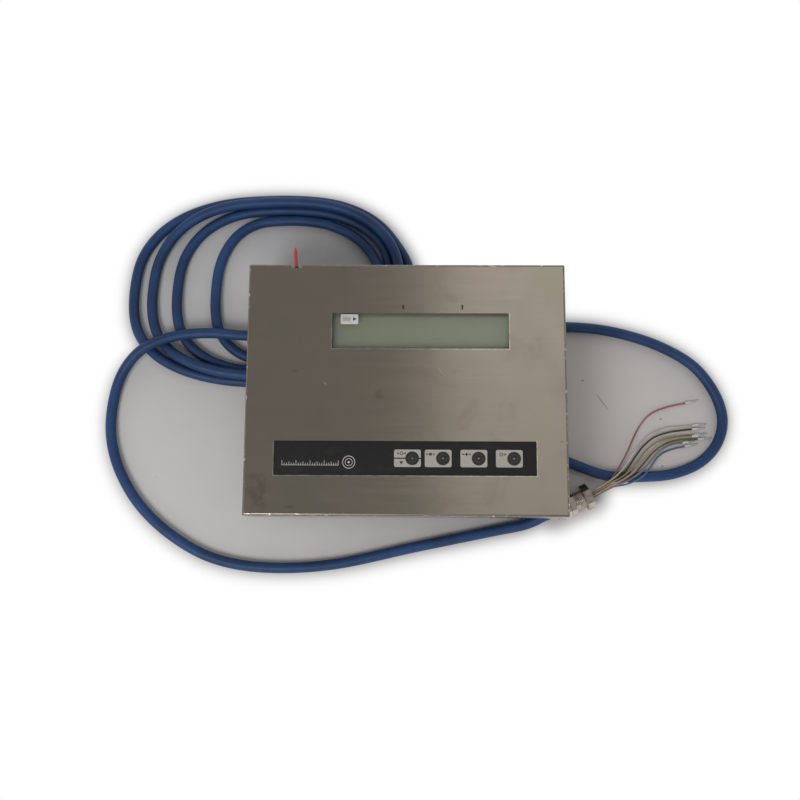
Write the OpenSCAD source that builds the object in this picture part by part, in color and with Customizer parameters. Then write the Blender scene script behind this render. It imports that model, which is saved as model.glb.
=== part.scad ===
/* [Housing] */
// Width of the stainless housing
housing_w = 265; // [250:1:300]
// Depth of the housing from front to rear
housing_d = 210; // [200:1:240]
// Height of the housing itself, from its underside to its face
housing_h = 62; // [60:1:80]
// Height of the lower tray's wall
tray_h = 34; // [32:1:40]
// Thickness of the stainless sheet
sheet_t = 1.5; // [1:0.1:2]
// Outside bend radius of the sheet edges
bend_r = 2; // [1.6:0.1:3]
// Thickness of the seal between cover and tray, as clamped
seal_t = 2; // [1:0.1:3]
// Width of the rim that the seal lies on
rim_w = 8; // [6:0.5:12]
// Gap between the rim and the cover posts
post_gap = 1; // [0.5:0.1:2]
// Distance of the cover posts from the front and from the rear
post_front = 47; // [41:0.5:55]
// Diameter of a cover post
post_d = 9; // [8:0.1:10]
// Nominal diameter of the cover screws
cover_screw_d = 5; // [4:0.5:5]
// Length of a cover screw below its head
cover_screw_l = 16; // [12:1:20]

/* [Feet] */
// Height of the rubber feet
foot_h = 24; // [22:0.5:30]
// Diameter of a foot at the bench
foot_d = 20; // [16:0.5:20]
// Distance of the feet from the sides
foot_side = 20.5; // [18.5:0.5:24.5]
// Distance of the feet from the front and from the rear
foot_front = 17; // [15:0.5:19]
// Nominal diameter of the foot screws
foot_screw_d = 4; // [3:0.5:5]

/* [Bracket holes] */
// Spacing of the bracket holes, across
bracket_x = 100; // [80:1:120]
// Spacing of the bracket holes, front to rear
bracket_y = 50; // [40:1:60]
// Distance of the middle of the bracket holes from the front
bracket_front = 40; // [37:1:45]
// Diameter of a bracket hole
bracket_hole_d = 5; // [4:0.1:6]

/* [Display window] */
// Width of the face left of the window opening
window_left = 70.7; // [66:0.1:80]
// Width of the face right of the window opening
window_right = 47.3; // [42:0.1:56]
// Depth of the face behind the window opening
window_rear = 42; // [38:0.1:46]
// Height of the window opening
window_h = 30; // [26:0.5:32]
// Thickness of the window pane
pane_t = 2; // [1.5:0.1:3]
// Thickness of the pane's gasket
pane_gasket_t = 0.6; // [0.4:0.1:1]
// Depth of the liquid crystal glass below the pane
lcd_drop = 4.4; // [3:0.1:6]
// Thickness of the liquid crystal glass
lcd_t = 2.8; // [2:0.1:3.5]
// Thickness of the backlight
backlight_t = 3; // [2:0.1:4]

/* [Keypad] */
// Gap between the left cover posts and the black key strip
strip_gap_left = 6.8; // [5.6:0.1:10]
// Gap between the right cover posts and the black key strip
strip_gap_right = 8.2; // [5.6:0.1:10]
// Depth of the face in front of the key strip
strip_front = 33; // [28:0.5:38]
// Height of the black key strip
strip_h = 28; // [26:0.5:30]
// Thickness of the key strip's foil
foil_t = 0.8; // [0.6:0.1:1]
// Width of a key field
field_w = 21.8; // [20:0.1:22.5]
// Height of a key field
field_h = 14.2; // [13:0.1:15]
// Length of the strip right of the last key field
field_end = 11.3; // [8:0.1:16]
// Distance from a field's middle to its key's middle
key_offset = 3.9; // [3:0.1:4.4]
// Diameter of a key
key_d = 10.6; // [9:0.1:10.8]
// Travel of a key
key_travel = 0.6; // [0.4:0.05:0.6]
// Height of a key above the foil
key_rise = 0.4; // [0.3:0.05:0.6]

/* [Connection bay] */
// Distance of the bay in the underside from the left side
bay_from_left = 31.5; // [30:0.5:34]
// Distance of the bay from the right side
bay_from_right = 62.5; // [56:0.5:68]
// Depth of the bay, from the rear to its gland wall
bay_depth = 60; // [56:0.5:64]
// Height of the bay above the housing's underside
bay_h = 31; // [28:0.5:31]
// Place of the cable's entry gland, across
entry_x = -12; // [-16:0.5:-8]
// Distance of the earth stud from the bay's right end
stud_side = 18; // [14:0.5:21]
// Height of the glands and the stud above the bench
entry_z = 40; // [38:0.5:42]
// Nominal diameter of the earth stud
stud_d = 5; // [4:0.5:6]
// Free length of the earth stud behind its nut
stud_free = 8; // [6:0.5:10]

/* [Glands] */
// Diameter of a gland's thread
gland_thread_d = 16; // [15:0.5:16]
// Width across flats of the gland nuts
gland_af = 20; // [19:0.5:21]
// Length of an entry gland's body hexagon
gland_hex_l = 6; // [5:0.5:7]
// Length of a gland's dome nut
dome_l = 18; // [16:0.5:18]
// Length of the far gland's thread between its body and its locknut
far_thread_l = 10.5; // [8:0.5:12]

/* [Cable] */
// Diameter of the blue cable
cable_d = 9.4; // [8.6:0.1:9.4]
// Diameter of one core
core_d = 1.5; // [1.4:0.1:1.6]
// Rings along one turn of the coil
rings_per_turn = 24; // [24:2:36]
// Sides of the coil's tube
coil_sides = 6; // [6:1:8]
// Sides of the laid tubes
tube_sides = 8; // [8:1:12]

/* [Seal] */
// Width of the channel for the seal cord in the rear wall
channel_w = 10; // [8:0.5:12]
// Depth of that channel
channel_d = 3.2; // [3.2:0.1:4]
// Distance of the channel's middle from the bay's left end
channel_side = 8; // [7:0.5:10]
// Diameter of the red seal cord
seal_cord_d = 3; // [2.4:0.1:3]

/* [Circuit boards] */
// Distance of the main board from the sides
board_side = 37.5; // [33:0.5:42]
// Distance of the main board from the front
board_front = 10; // [8:0.5:12]
// Space between the main board and the bay
board_rear = 40; // [36:0.5:44]
// Thickness of the circuit boards
board_t = 1.6; // [1:0.1:2]
// Height of the board's standoffs
standoff_h = 12; // [10:0.5:14]

/* [Hidden] */
$fn = 48;
over = 0.1;
clear_t = 0.3;
face_z = foot_h + housing_h;
floor_z = foot_h + sheet_t;
tray_top = foot_h + tray_h;
cover_z = tray_top + seal_t;
back_z = face_z - sheet_t;
inner_r = max(bend_r - sheet_t, over);
corner_sides = [-1, 1];

// Places across the housing and from its front to its rear
post_x = housing_w / 2 - rim_w - post_gap - post_d / 2;
post_y = housing_d / 2 - post_front;
foot_x = housing_w / 2 - foot_side;
foot_y = housing_d / 2 - foot_front;
bracket_mid_y = bracket_front - housing_d / 2;
window_w = housing_w - window_left - window_right;
window_x = (window_left - window_right) / 2;
window_y = housing_d / 2 - window_rear - window_h / 2;
strip_w = 2 * post_x - post_d - strip_gap_left - strip_gap_right;
strip_x = (strip_gap_left - strip_gap_right) / 2;
strip_y = strip_front + strip_h / 2 - housing_d / 2;
bay_left = bay_from_left - housing_w / 2;
bay_right = housing_w / 2 - bay_from_right;
bay_y = housing_d / 2 - bay_depth;
stud_x = bay_right - stud_side;
channel_x = bay_left + channel_side;
board_w = housing_w - 2 * board_side;
board_d = housing_d - bay_depth - board_front - board_rear;
board_y = board_front + board_d / 2 - housing_d / 2;

// Fasteners
m3_r = 1.5;
m3_hole_r = 1.7;
m3_nut_h = 2.4;
m3_nut_r = 3.1;
screw_gap = 0.05;
head_h = 2.7;
head_r = 4.6;
hole_gap = 0.3;

// Display stack, from the face plate downwards
pane_margin = 5;
pane_w = window_w + 2 * pane_margin;
pane_h = window_h + 2 * pane_margin;
frame_margin = 12.5;
frame_w = window_w + 2 * frame_margin;
frame_h = window_h + 2 * (frame_margin - sheet_t);
pane_z = back_z - pane_gasket_t - pane_t;
lcd_top = pane_z - lcd_drop;
lcd_z = lcd_top - lcd_t;
backlight_z = lcd_z - backlight_t;
frame_z = backlight_z;
lcd_board_z = frame_z - board_t;
lcd_margin = 4.5;
lcd_w = window_w + 2 * lcd_margin;
lcd_h = window_h + 2 * lcd_margin;
stud_margin = 3.5;
display_stud_x = frame_w / 2 - stud_margin;
display_stud_y = frame_h / 2 - stud_margin;
display_stud_l = back_z - lcd_board_z + m3_nut_h + clear_t;
view_margin = 1;
label_w = 14.6;
label_h = 8.4;
label_t = 0.15;
label_x = window_x - 0.4 * window_w - label_t * 3;
label_y = window_y + window_h / 2 - label_h / 2 - label_t * 4;
label_r = 1;
mark_w = 1.4;
mark_l = 4;
mark_t = 0.1;
mark_x_shares = [-0.0986, 0.2367];
mark_xs = [for (s = mark_x_shares) window_x + s * window_w];
mark_gap = 3.2;

// Key strip stack
carrier_t = 1.5;
carrier_margin = 5;
carrier_w = strip_w + 2 * carrier_margin;
carrier_h = strip_h + 2 * carrier_margin;
carrier_z = back_z - carrier_t;
keypad_board_z = carrier_z - board_t;
foil_gap = 0.25;
field_t = 0.1;
field_r = 1.6;
field_slit = 1;
key_gap = 0.3;
key_flange = 0.9;
key_flange_t = 0.6;
dome_r = 4.9;
dome_t = 0.15;
key_stud_x = carrier_w / 2 - stud_margin;
key_stud_y = carrier_h / 2 - stud_margin;
key_stud_l = back_z - keypad_board_z + m3_nut_h + clear_t;
field_gaps = [3.2, 7.2, 7];
function field_place(k) = k == len(field_gaps) ? strip_x + strip_w / 2 - field_end - field_w / 2
    : field_place(k + 1) - field_w - field_gaps[k];
field_xs = [for (k = [0:len(field_gaps)]) field_place(k)];

// Bay and what is in its wall
bay_z = foot_h + bay_h;
gland_r = gland_thread_d / 2;
wall_gap = 0.15;
washer_t = 1;
entry_neck_l = 5;
locknut_t = 4;
cable_r = cable_d / 2;
gland_bore_r = cable_r + clear_t;
dome_y = bay_y + washer_t + gland_hex_l + clear_t;
entry_mouth_y = dome_y + dome_l;
plug_head_l = 5;
plug_af = 20;
stud_nut_t = 4;
stud_nut_af = 8;
plug_x_shares = [-0.178, 0.219];
plug_xs = [for (s = plug_x_shares) (bay_left + bay_right) / 2 + s * (bay_right - bay_left)];
lug_t = 2;
lug_w = 8;
lug_l = 8;
lug_gap = 13;
lug_drop = 13;
lug_y = housing_d / 2 - lug_gap;
lug_z = bay_z - lug_drop;

// Feet
foot_top_r = 0.42 * foot_d;
foot_bore_r = foot_screw_d / 2 + hole_gap / 2;
foot_recess_r = foot_screw_d;
foot_recess_h = foot_h * 0.6;
insert_h = 8;
insert_wall = 2;

// Boards
standoff_r = 3;
board_z = floor_z + standoff_h;
board_top = board_z + board_t;
standoff_x = board_w / 2 - stud_margin * 1.5;
standoff_y = board_d / 2 - stud_margin * 1.5;
part_gap = 0.1;

// Coil: quarter ovals between the ends of its four turns, seen from above
coil_x = -115;
coil_y = 95;
oval_power = 2.5;
left_reaches = [63, 99, 122, 139];
far_reaches = [77, 87, 92, 97];
near_reaches = [58, 68, 73, 78];
right_reaches = [98, 109, 122];
shoulder_reaches = [105, 111, 116];
shoulder_turn = 32;
coil_turn = 360;
coil_end = 1260;
quarter = 90;
coil_z = cable_r;
layer_h = 8.8;
lifts = [[596, 636, 745, 800], [824, 868, 925, 980]];

// Routes of the laid cable, points chosen by hand
low = cable_r;
lead_route = [[entry_x, entry_mouth_y, entry_z], [entry_x, entry_mouth_y + cable_d, entry_z],
    [-12.8, 91.6, 37.8], [-15, 102.7, 31.4],
    [-17.8, 110.5, 22.2], [-21.5, 118.4, 13.2], [-27.6, 129.4, 6.9], [-34.6, 142, low],
    [-45, 153, low], [-60, 162.5, low], [-78, 169, low], [-97, 171.7, low], [-115, 172, low]];
run_route = [[-115, 17, low], [-95, 17, low], [-50, 13, low], [5, 1, low], [60, -19, low],
    [110, -39, low], [148, -55, low], [180, -66, low], [212, -67, low], [240, -64, low],
    [264, -54, low], [280, -37, low], [286, -15, low], [280, 9, low], [263, 33, low],
    [237, 50, low], [205, 62, low], [170, 69, low], [130, 70.5, low], [80, 68, 5],
    [40, 66, 12], [-5, 64, 18.3], [-50, 63, 12], [-100, 61.5, 9], [-145, 59.5, 14],
    [-180, 61.5, 15], [-212, 58.5, 15], [-240, 47, 15], [-259, 28, 8], [-268, 2, low],
    [-269, -30, low], [-260, -62, low], [-240, -94, low], [-210, -121, low],
    [-172, -141, low], [-125, -149, low], [-65, -146, low], [10, -130, low],
    [75, -116.5, low], [106, -110, 6.2], [123.2, -102.3, 9.8], [132.3, -98.2, 10.2]];
seal_route = [[-93, lug_y, lug_z], [-93, 96.5, 42.9], [-93, 100.6, 45.8], [-93, 102.9, 50], [-93, 103.4, 54.5],
    [-93, 103.4, 62], [-93, 103.4, 70], [-93, 103.5, 78], [-93, 104.4, 82.6], [-93, 107.5, 86.6],
    [-93.1, 112, 88.6], [-93.3, 118.4, 89.4]];

// Far end of the cable, in its gland
far_tip = [132.3, -98.2, 10.2];
far_angle = 24;
far_hex_l = 5;
far_dome_l = 12.5;
far_nut_l = 6.5;
core_reach = 2;
core_ring = 2.6;
far_cores_at = far_dome_l + far_hex_l + far_thread_l + far_nut_l - core_reach;
core_routes = [
    [[186, -65, 11.5], [192, -56, 9.5], [198, -46, 7], [204, -34, 5], [211, -21.5, 3.4],
        [221, -10.5, 2], [235, -4, 1.4], [254, 0.5, 1.35]],
    [[189.5, -67.5, 10.8], [198, -59.5, 9.4], [205, -50, 7.2], [213.5, -39.6, 5.4], [224, -31.3, 3.8],
        [237, -26.7, 2.4], [248, -24.8, 1.5], [259, -23.5, 1.35]],
    [[191, -68, 14.6], [200, -61, 12], [208, -52, 9.6], [216, -42.8, 7.6], [226, -35.6, 5.6],
        [238, -31.4, 3.6], [250, -29.4, 1.8], [260, -28.6, 1.35]],
    [[193, -71, 11], [204, -63.5, 10.4], [213, -55, 8], [221, -46.4, 5.6], [230, -39.4, 3.6],
        [240, -35, 2.2], [252, -32.9, 1.4], [264, -32.3, 1.35]],
    [[195, -71.8, 13.2], [207, -64.6, 12], [216, -56.4, 9.4], [223, -48.6, 6.6], [231, -41.8, 4],
        [240, -37.6, 2.2], [250, -35.9, 1.35]],
    [[188, -65.6, 14.2], [196, -56.5, 11.8], [204, -46, 9.4], [213, -35.3, 7.2], [224, -27.3, 5.2],
        [237, -23, 3.4], [249, -21.2, 1.8], [260, -20, 1.35]],
    [[193, -69.6, 15.2], [203, -62.4, 13], [211, -53.8, 10.8], [219, -45.2, 8.8], [228, -38.2, 7],
        [238, -33.6, 5.4], [248, -31.4, 4.2], [258, -30.2, 3.95]],
    [[197, -73.8, 10.9], [210, -67.4, 10.8], [218.5, -58.8, 8.2], [225, -50.8, 4], [233, -44.6, 1.6],
        [243, -41, 1.3], [252, -39.2, 1.35]]
];
ferrule_d = 2.4;
ferrule_l = 6;
ferrule_pin_l = 6;
ferrule_wall = 0.15;

// Outlines and plain forms

module rounded_rect(w, d, r) {
    square([w - 2 * r, d], center = true);
    square([w, d - 2 * r], center = true);
    for (x = corner_sides, y = corner_sides)
        translate([x * (w / 2 - r), y * (d / 2 - r)]) circle(r);
}

module slab(w, d, h, r) {
    linear_extrude(h) rounded_rect(w, d, r);
}

module arched_side(w, h, r) {
    // Section of a folded cover: square below, its two upper edges bent
    translate([-w / 2, 0]) square([w, h - r]);
    translate([r - w / 2, 0]) square([w - 2 * r, h]);
    for (x = corner_sides) translate([x * (w / 2 - r), h - r]) circle(r);
}

module folded_box(w, d, h, r) {
    intersection() {
        slab(w, d, h, r);
        rotate([quarter, 0, 0]) linear_extrude(d + 2 * over, center = true) arched_side(w, h, r);
        rotate([quarter, 0, quarter]) linear_extrude(w + 2 * over, center = true) arched_side(d, h, r);
    }
}

module box_at(low_corner, high_corner) {
    translate(low_corner) cube(high_corner - low_corner);
}

module at_corners(x, y) {
    for (sx = corner_sides, sy = corner_sides) translate([sx * x, sy * y, 0]) children();
}

module hexagon(flats, h) {
    cylinder(r = flats / sqrt(3), h = h, $fn = 6);
}

module along_y(x, y, z) {
    translate([x, y, z]) rotate([-quarter, 0, 0]) children();
}

module nut(flats, bore_r, h) {
    difference() {
        hexagon(flats, h);
        translate([0, 0, -over]) cylinder(r = bore_r, h = h + 2 * over);
    }
}

module at_window() {
    translate([window_x, window_y, 0]) children();
}

module at_strip() {
    translate([strip_x, strip_y, 0]) children();
}

module at_key(k) {
    translate([field_xs[k] + key_offset, strip_y, 0]) children();
}

// Tubes swept along a route

function unit(v) = v / norm(v);

function tangents(route, start, finish) = [
    for (i = [0:len(route) - 1])
        i == 0 ? start
            : i == len(route) - 1 ? finish
            : unit(unit(route[i + 1] - route[i]) + unit(route[i] - route[i - 1]))
];

function ring(centre, along, upright, r, sides) =
    let (side = unit(cross(upright, along)), rise = cross(along, side))
    [for (k = [0:sides - 1])
        let (a = k * coil_turn / sides) centre + r * (cos(a) * side + sin(a) * rise)];

// A point half way between each two, on a smooth curve through them all
function smoothed(route) = [
    for (i = [0:len(route) - 1])
        for (half = i < len(route) - 1 ? [0, 1] : [0])
            half == 0 ? route[i]
                : (9 * (route[i] + route[i + 1]) - route[max(i - 1, 0)]
                    - route[min(i + 2, len(route) - 1)]) / 16
];

module tube(route, r, sides, start, finish, upright = [0, 0, 1]) {
    along = tangents(route, start, finish);
    last = len(route) - 1;
    corners = [for (i = [0:last]) each ring(route[i], along[i], upright, r, sides)];
    walls = [
        for (i = [0:last - 1])
            for (k = [0:sides - 1])
                let (a = i * sides + k, b = i * sides + (k + 1) % sides)
                each [[a, a + sides, b], [b, a + sides, b + sides]]
    ];
    ends = [
        for (k = [1:sides - 2])
            each [[0, k, k + 1], [last * sides, last * sides + k + 1, last * sides + k]]
    ];
    polyhedron(corners, concat(walls, ends));
}

// The coil

function eased(share) = let (s = min(max(share, 0), 1)) s * s * (3 - 2 * s);

function lift_at(travel) = layer_h * [for (l = lifts) 1] * [
    for (l = lifts)
        eased((travel - l[0]) / (l[1] - l[0])) - eased((travel - l[2]) / (l[3] - l[2]))
];

function oval_share(wave) = sign(wave) * pow(abs(wave), 2 / oval_power);

function reaches_at(turn, gone) =
    gone <= quarter ? [left_reaches[turn], far_reaches[turn]]
        : gone <= 2 * quarter ? [left_reaches[turn], near_reaches[turn]]
        : gone <= 3 * quarter ? [right_reaches[turn], near_reaches[turn]]
        : [right_reaches[turn] + (shoulder_reaches[turn] - right_reaches[turn])
            * eased((gone - 3 * quarter) / shoulder_turn), far_reaches[turn + 1]];

function coil_point(travel) =
    let (turn = floor(travel / coil_turn), gone = travel - turn * coil_turn,
        reach = reaches_at(turn, gone))
    [coil_x + reach[0] * oval_share(cos(quarter + gone)),
        coil_y + reach[1] * oval_share(sin(quarter + gone)),
        coil_z + lift_at(travel)];

coil_step = coil_turn / rings_per_turn;
coil_route = [for (travel = [0:coil_step:coil_end]) coil_point(travel)];

// Least distance between the coil's turns, on four points of each chord
module report_coil_gap() {
    parts = 4;
    spots = [
        for (i = [0:len(coil_route) - 2])
            for (p = [0:parts - 1])
                coil_route[i] + (coil_route[i + 1] - coil_route[i]) * p / parts
    ];
    apart = parts * rings_per_turn / 2;
    gaps = [
        for (i = [0:len(spots) - 1 - apart])
            min([for (j = [i + apart:len(spots) - 1]) norm(spots[i] - spots[j])])
    ];
    echo("least gap of the coil to itself", min(gaps) - cable_d);
}

// Housing

module channel(depth_more, low_z, high_z) {
    half = channel_w / 2 + depth_more;
    box_at([channel_x - half, housing_d / 2 - channel_d - depth_more, low_z],
        [channel_x + half, housing_d / 2 + over, high_z]);
}

module stainless() {
    color([0.56, 0.54, 0.5]) children();
}

module cover_shell() {
    difference() {
        translate([0, 0, cover_z]) folded_box(housing_w, housing_d, face_z - cover_z, bend_r);
        difference() {
            translate([0, 0, cover_z + sheet_t])
                slab(housing_w - 2 * sheet_t, housing_d - 2 * sheet_t, back_z - cover_z - sheet_t, inner_r);
            channel(sheet_t, cover_z, back_z + over);
        }
        translate([0, 0, cover_z - over])
            slab(housing_w - 2 * rim_w, housing_d - 2 * rim_w, sheet_t + 2 * over, bend_r);
        channel(0, cover_z - over, face_z + over);
        at_window() translate([0, 0, back_z - over]) slab(window_w, window_h, sheet_t + 2 * over, inner_r);
        at_strip() translate([0, 0, back_z - over]) slab(strip_w, strip_h, sheet_t + 2 * over, inner_r);
    }
}

module cover_studs() {
    at_window() at_corners(display_stud_x, display_stud_y)
        translate([0, 0, back_z - display_stud_l]) cylinder(r = m3_r, h = display_stud_l + over);
    at_strip() at_corners(key_stud_x, key_stud_y)
        translate([0, 0, back_z - key_stud_l]) cylinder(r = m3_r, h = key_stud_l + over);
}

module front_cover() {
    stainless() difference() {
        union() {
            cover_shell();
            cover_studs();
            at_corners(post_x, post_y)
                translate([0, 0, floor_z]) cylinder(d = post_d, h = back_z - floor_z + over);
        }
        at_corners(post_x, post_y) translate([0, 0, floor_z - over])
            cylinder(r = cover_screw_d / 2 + screw_gap, h = cover_screw_l + sheet_t);
    }
}

module bay_space(grow, low_z) {
    box_at([bay_left - grow, bay_y - grow, low_z], [bay_right + grow, housing_d / 2 + over, bay_z + grow]);
}

module tray_walls() {
    difference() {
        translate([0, 0, foot_h]) slab(housing_w, housing_d, tray_h, bend_r);
        difference() {
            translate([0, 0, floor_z])
                slab(housing_w - 2 * sheet_t, housing_d - 2 * sheet_t, tray_h - 2 * sheet_t, inner_r);
            bay_space(sheet_t, foot_h);
            channel(sheet_t, bay_z, tray_top);
        }
        translate([0, 0, tray_top - sheet_t - over])
            slab(housing_w - 2 * rim_w, housing_d - 2 * rim_w, sheet_t + 2 * over, bend_r);
        bay_space(0, foot_h - over);
        channel(0, bay_z - over, tray_top + over);
    }
}

module seal_lug() {
    difference() {
        box_at([channel_x - lug_w / 2, lug_y - lug_t, lug_z - lug_l / 2],
            [channel_x + lug_w / 2, lug_y, bay_z + sheet_t / 2]);
        along_y(channel_x, lug_y - lug_t - over, lug_z)
            cylinder(d = seal_cord_d / 2, h = lug_t + 2 * over);
    }
}

module wall_hole(x, r) {
    along_y(x, bay_y - sheet_t - over, entry_z) cylinder(r = r, h = sheet_t + 2 * over);
}

module floor_hole(r) {
    translate([0, 0, foot_h - over]) cylinder(r = r, h = sheet_t + 2 * over);
}

module at_bracket_holes() {
    translate([0, bracket_mid_y, 0]) at_corners(bracket_x / 2, bracket_y / 2) children();
}

module base_tray() {
    stainless() {
        difference() {
            union() {
                tray_walls();
                seal_lug();
            }
            wall_hole(entry_x, gland_r + wall_gap);
            for (x = plug_xs) wall_hole(x, gland_r + wall_gap);
            wall_hole(stud_x, stud_d / 2 + wall_gap);
            at_corners(post_x, post_y) floor_hole(cover_screw_d / 2 + hole_gap);
            at_corners(foot_x, foot_y) floor_hole(foot_bore_r);
            at_bracket_holes() floor_hole(bracket_hole_d / 2);
        }
    }
}

module housing_gasket() {
    color([0.12, 0.12, 0.12]) difference() {
        translate([0, 0, tray_top])
            slab(housing_w - 2 * sheet_t, housing_d - 2 * sheet_t, seal_t, bend_r);
        translate([0, 0, tray_top - over])
            slab(housing_w - 2 * rim_w, housing_d - 2 * rim_w, seal_t + 2 * over, bend_r);
        channel(clear_t, tray_top - over, cover_z + over);
    }
}

module cover_screws() {
    color([0.7, 0.7, 0.7]) at_corners(post_x, post_y) difference() {
        union() {
            translate([0, 0, foot_h - head_h]) cylinder(r = head_r, h = head_h);
            translate([0, 0, foot_h - over]) cylinder(d = cover_screw_d, h = cover_screw_l);
        }
        translate([0, 0, foot_h - head_h - over]) hexagon(cover_screw_d * 0.6, head_h * 0.6);
    }
}

module rubber_feet() {
    color([0.1, 0.1, 0.1]) at_corners(foot_x, foot_y) rotate_extrude()
        polygon([[foot_recess_r, 0], [foot_d / 2, 0], [foot_top_r, foot_h], [foot_bore_r, foot_h],
            [foot_bore_r, foot_recess_h], [foot_recess_r, foot_recess_h]]);
}

module foot_screws() {
    shank_l = foot_h - foot_recess_h + sheet_t + m3_nut_h + sheet_t;
    color([0.7, 0.7, 0.7]) at_corners(foot_x, foot_y) {
        difference() {
            union() {
                translate([0, 0, foot_recess_h - head_h])
                    cylinder(r = foot_recess_r - hole_gap, h = head_h);
                translate([0, 0, foot_recess_h - over])
                    cylinder(d = foot_screw_d - hole_gap, h = shank_l);
            }
            translate([0, 0, foot_recess_h - head_h - over])
                hexagon(foot_screw_d * 0.6, head_h * 0.6);
        }
        translate([0, 0, floor_z]) nut(foot_screw_d * 1.75, foot_screw_d / 2, m3_nut_h);
    }
}

module mounting_inserts() {
    color([0.75, 0.74, 0.72]) at_bracket_holes() translate([0, 0, floor_z]) difference() {
        cylinder(r = bracket_hole_d / 2 + insert_wall, h = insert_h);
        translate([0, 0, -over]) cylinder(d = bracket_hole_d, h = insert_h + 2 * over);
    }
}

// Display

module window_gasket() {
    color([0.05, 0.05, 0.05]) at_window() translate([0, 0, pane_z + pane_t]) difference() {
        slab(pane_w, pane_h, pane_gasket_t, inner_r);
        translate([0, 0, -over])
            slab(window_w + view_margin, window_h + view_margin, pane_gasket_t + 2 * over, inner_r);
    }
}

module window_pane() {
    color([0.75, 0.8, 0.78, 0.4]) at_window() translate([0, 0, pane_z]) slab(pane_w, pane_h, pane_t, inner_r);
}

module window_label() {
    color([0.93, 0.93, 0.9]) translate([label_x, label_y, pane_z + pane_t]) slab(label_w, label_h, label_t, label_r);
}

module limit_marks() {
    mark_y = window_y + window_h / 2 + mark_gap;
    color([0.05, 0.05, 0.05]) for (x = mark_xs)
        box_at([x - mark_w / 2, mark_y, face_z], [x + mark_w / 2, mark_y + mark_l, face_z + mark_t]);
}

module display_frame() {
    color([0.08, 0.08, 0.08]) at_window() difference() {
        translate([0, 0, frame_z]) slab(frame_w, frame_h, back_z - frame_z, bend_r);
        translate([0, 0, pane_z])
            slab(pane_w + hole_gap, pane_h + hole_gap, back_z - pane_z + over, inner_r);
        translate([0, 0, lcd_top - over])
            slab(window_w + 2 * view_margin, window_h + 2 * view_margin, pane_z - lcd_top + 2 * over, inner_r);
        translate([0, 0, frame_z - over])
            slab(lcd_w + hole_gap, lcd_h + hole_gap, lcd_top - frame_z + over, inner_r);
        at_corners(display_stud_x, display_stud_y)
            translate([0, 0, frame_z - over]) cylinder(r = m3_hole_r, h = back_z - frame_z + 2 * over);
    }
}

module lcd_glass() {
    color([0.47, 0.5, 0.42]) at_window() translate([0, 0, lcd_z]) slab(lcd_w, lcd_h, lcd_t, inner_r);
}

module lcd_backlight() {
    color([0.9, 0.9, 0.86]) at_window() translate([0, 0, backlight_z]) slab(lcd_w, lcd_h, backlight_t, inner_r);
}

module lcd_board() {
    color([0.1, 0.35, 0.2]) at_window() translate([0, 0, lcd_board_z]) difference() {
        slab(frame_w, frame_h, board_t, bend_r);
        at_corners(display_stud_x, display_stud_y)
            translate([0, 0, -over]) cylinder(r = m3_hole_r, h = board_t + 2 * over);
    }
}

module chip(x, y, w, d, h) {
    translate([x - w / 2, y - d / 2, 0]) cube([w, d, h]);
}

driver_w = 14;
driver_d = 9;
driver_h = 1.6;
driver_step = 26;
module lcd_driver_chips() {
    color([0.07, 0.07, 0.07]) at_window() translate([0, 0, lcd_board_z - driver_h])
        for (k = [0:3]) chip((k - 1) * driver_step, -driver_d, driver_w, driver_d, driver_h);
}

module display_nuts() {
    color([0.75, 0.75, 0.72]) at_window() at_corners(display_stud_x, display_stud_y)
        translate([0, 0, lcd_board_z - m3_nut_h]) nut(m3_nut_r * sqrt(3), m3_r + screw_gap, m3_nut_h);
}

// Keypad

module keypad_foil() {
    color([0.04, 0.04, 0.045]) difference() {
        at_strip() translate([0, 0, back_z]) slab(strip_w - 2 * foil_gap, strip_h - 2 * foil_gap, foil_t, inner_r);
        for (k = [0:len(field_xs) - 1])
            at_key(k) translate([0, 0, back_z - over]) cylinder(r = key_d / 2 + key_gap, h = foil_t + 2 * over);
    }
}

module key_fields() {
    color([0.74, 0.73, 0.68]) translate([0, 0, back_z + foil_t]) difference() {
        for (x = field_xs) translate([x, strip_y, 0]) slab(field_w, field_h, field_t, field_r);
        for (k = [0:len(field_xs) - 1])
            at_key(k) translate([0, 0, -over]) cylinder(r = key_d / 2 + key_gap, h = field_t + 2 * over);
        translate([field_xs[0] - field_w / 2 - over, strip_y - field_slit / 2, -over])
            cube([field_w + 2 * over, field_slit, field_t + 2 * over]);
    }
}

key_low_z = back_z - part_gap - key_flange_t;
key_top_z = back_z + foil_t + key_rise;
dome_h = key_low_z - part_gap / 2 - carrier_z;

module key(k) {
    r = key_d / 2;
    edge = key_rise / 2;
    groove = [0.62 * r, 0.54 * r];
    pip_r = 0.16 * r;
    color([0.05, 0.05, 0.055]) at_key(k) rotate_extrude()
        polygon([[0, key_low_z], [r + key_flange, key_low_z], [r + key_flange, key_low_z + key_flange_t],
            [r, key_low_z + key_flange_t], [r, key_top_z - edge], [r - edge, key_top_z],
            [groove[0], key_top_z], [groove[0], key_top_z - edge], [groove[1], key_top_z - edge],
            [groove[1], key_top_z], [pip_r, key_top_z], [pip_r, key_top_z + edge / 2],
            [0, key_top_z + edge / 2]]);
}

module key_dome(k) {
    steps = 6;
    arch = [for (i = [0:steps]) [dome_r * i / steps, 1 - pow(i / steps, 2)]];
    color([0.8, 0.8, 0.78]) at_key(k) translate([0, 0, carrier_z]) rotate_extrude()
        polygon(concat([for (p = arch) [p.x, p.y * (dome_h - dome_t) + dome_t]],
            [for (i = [steps:-1:0]) [arch[i].x, arch[i].y * (dome_h - dome_t)]]));
}

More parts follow.
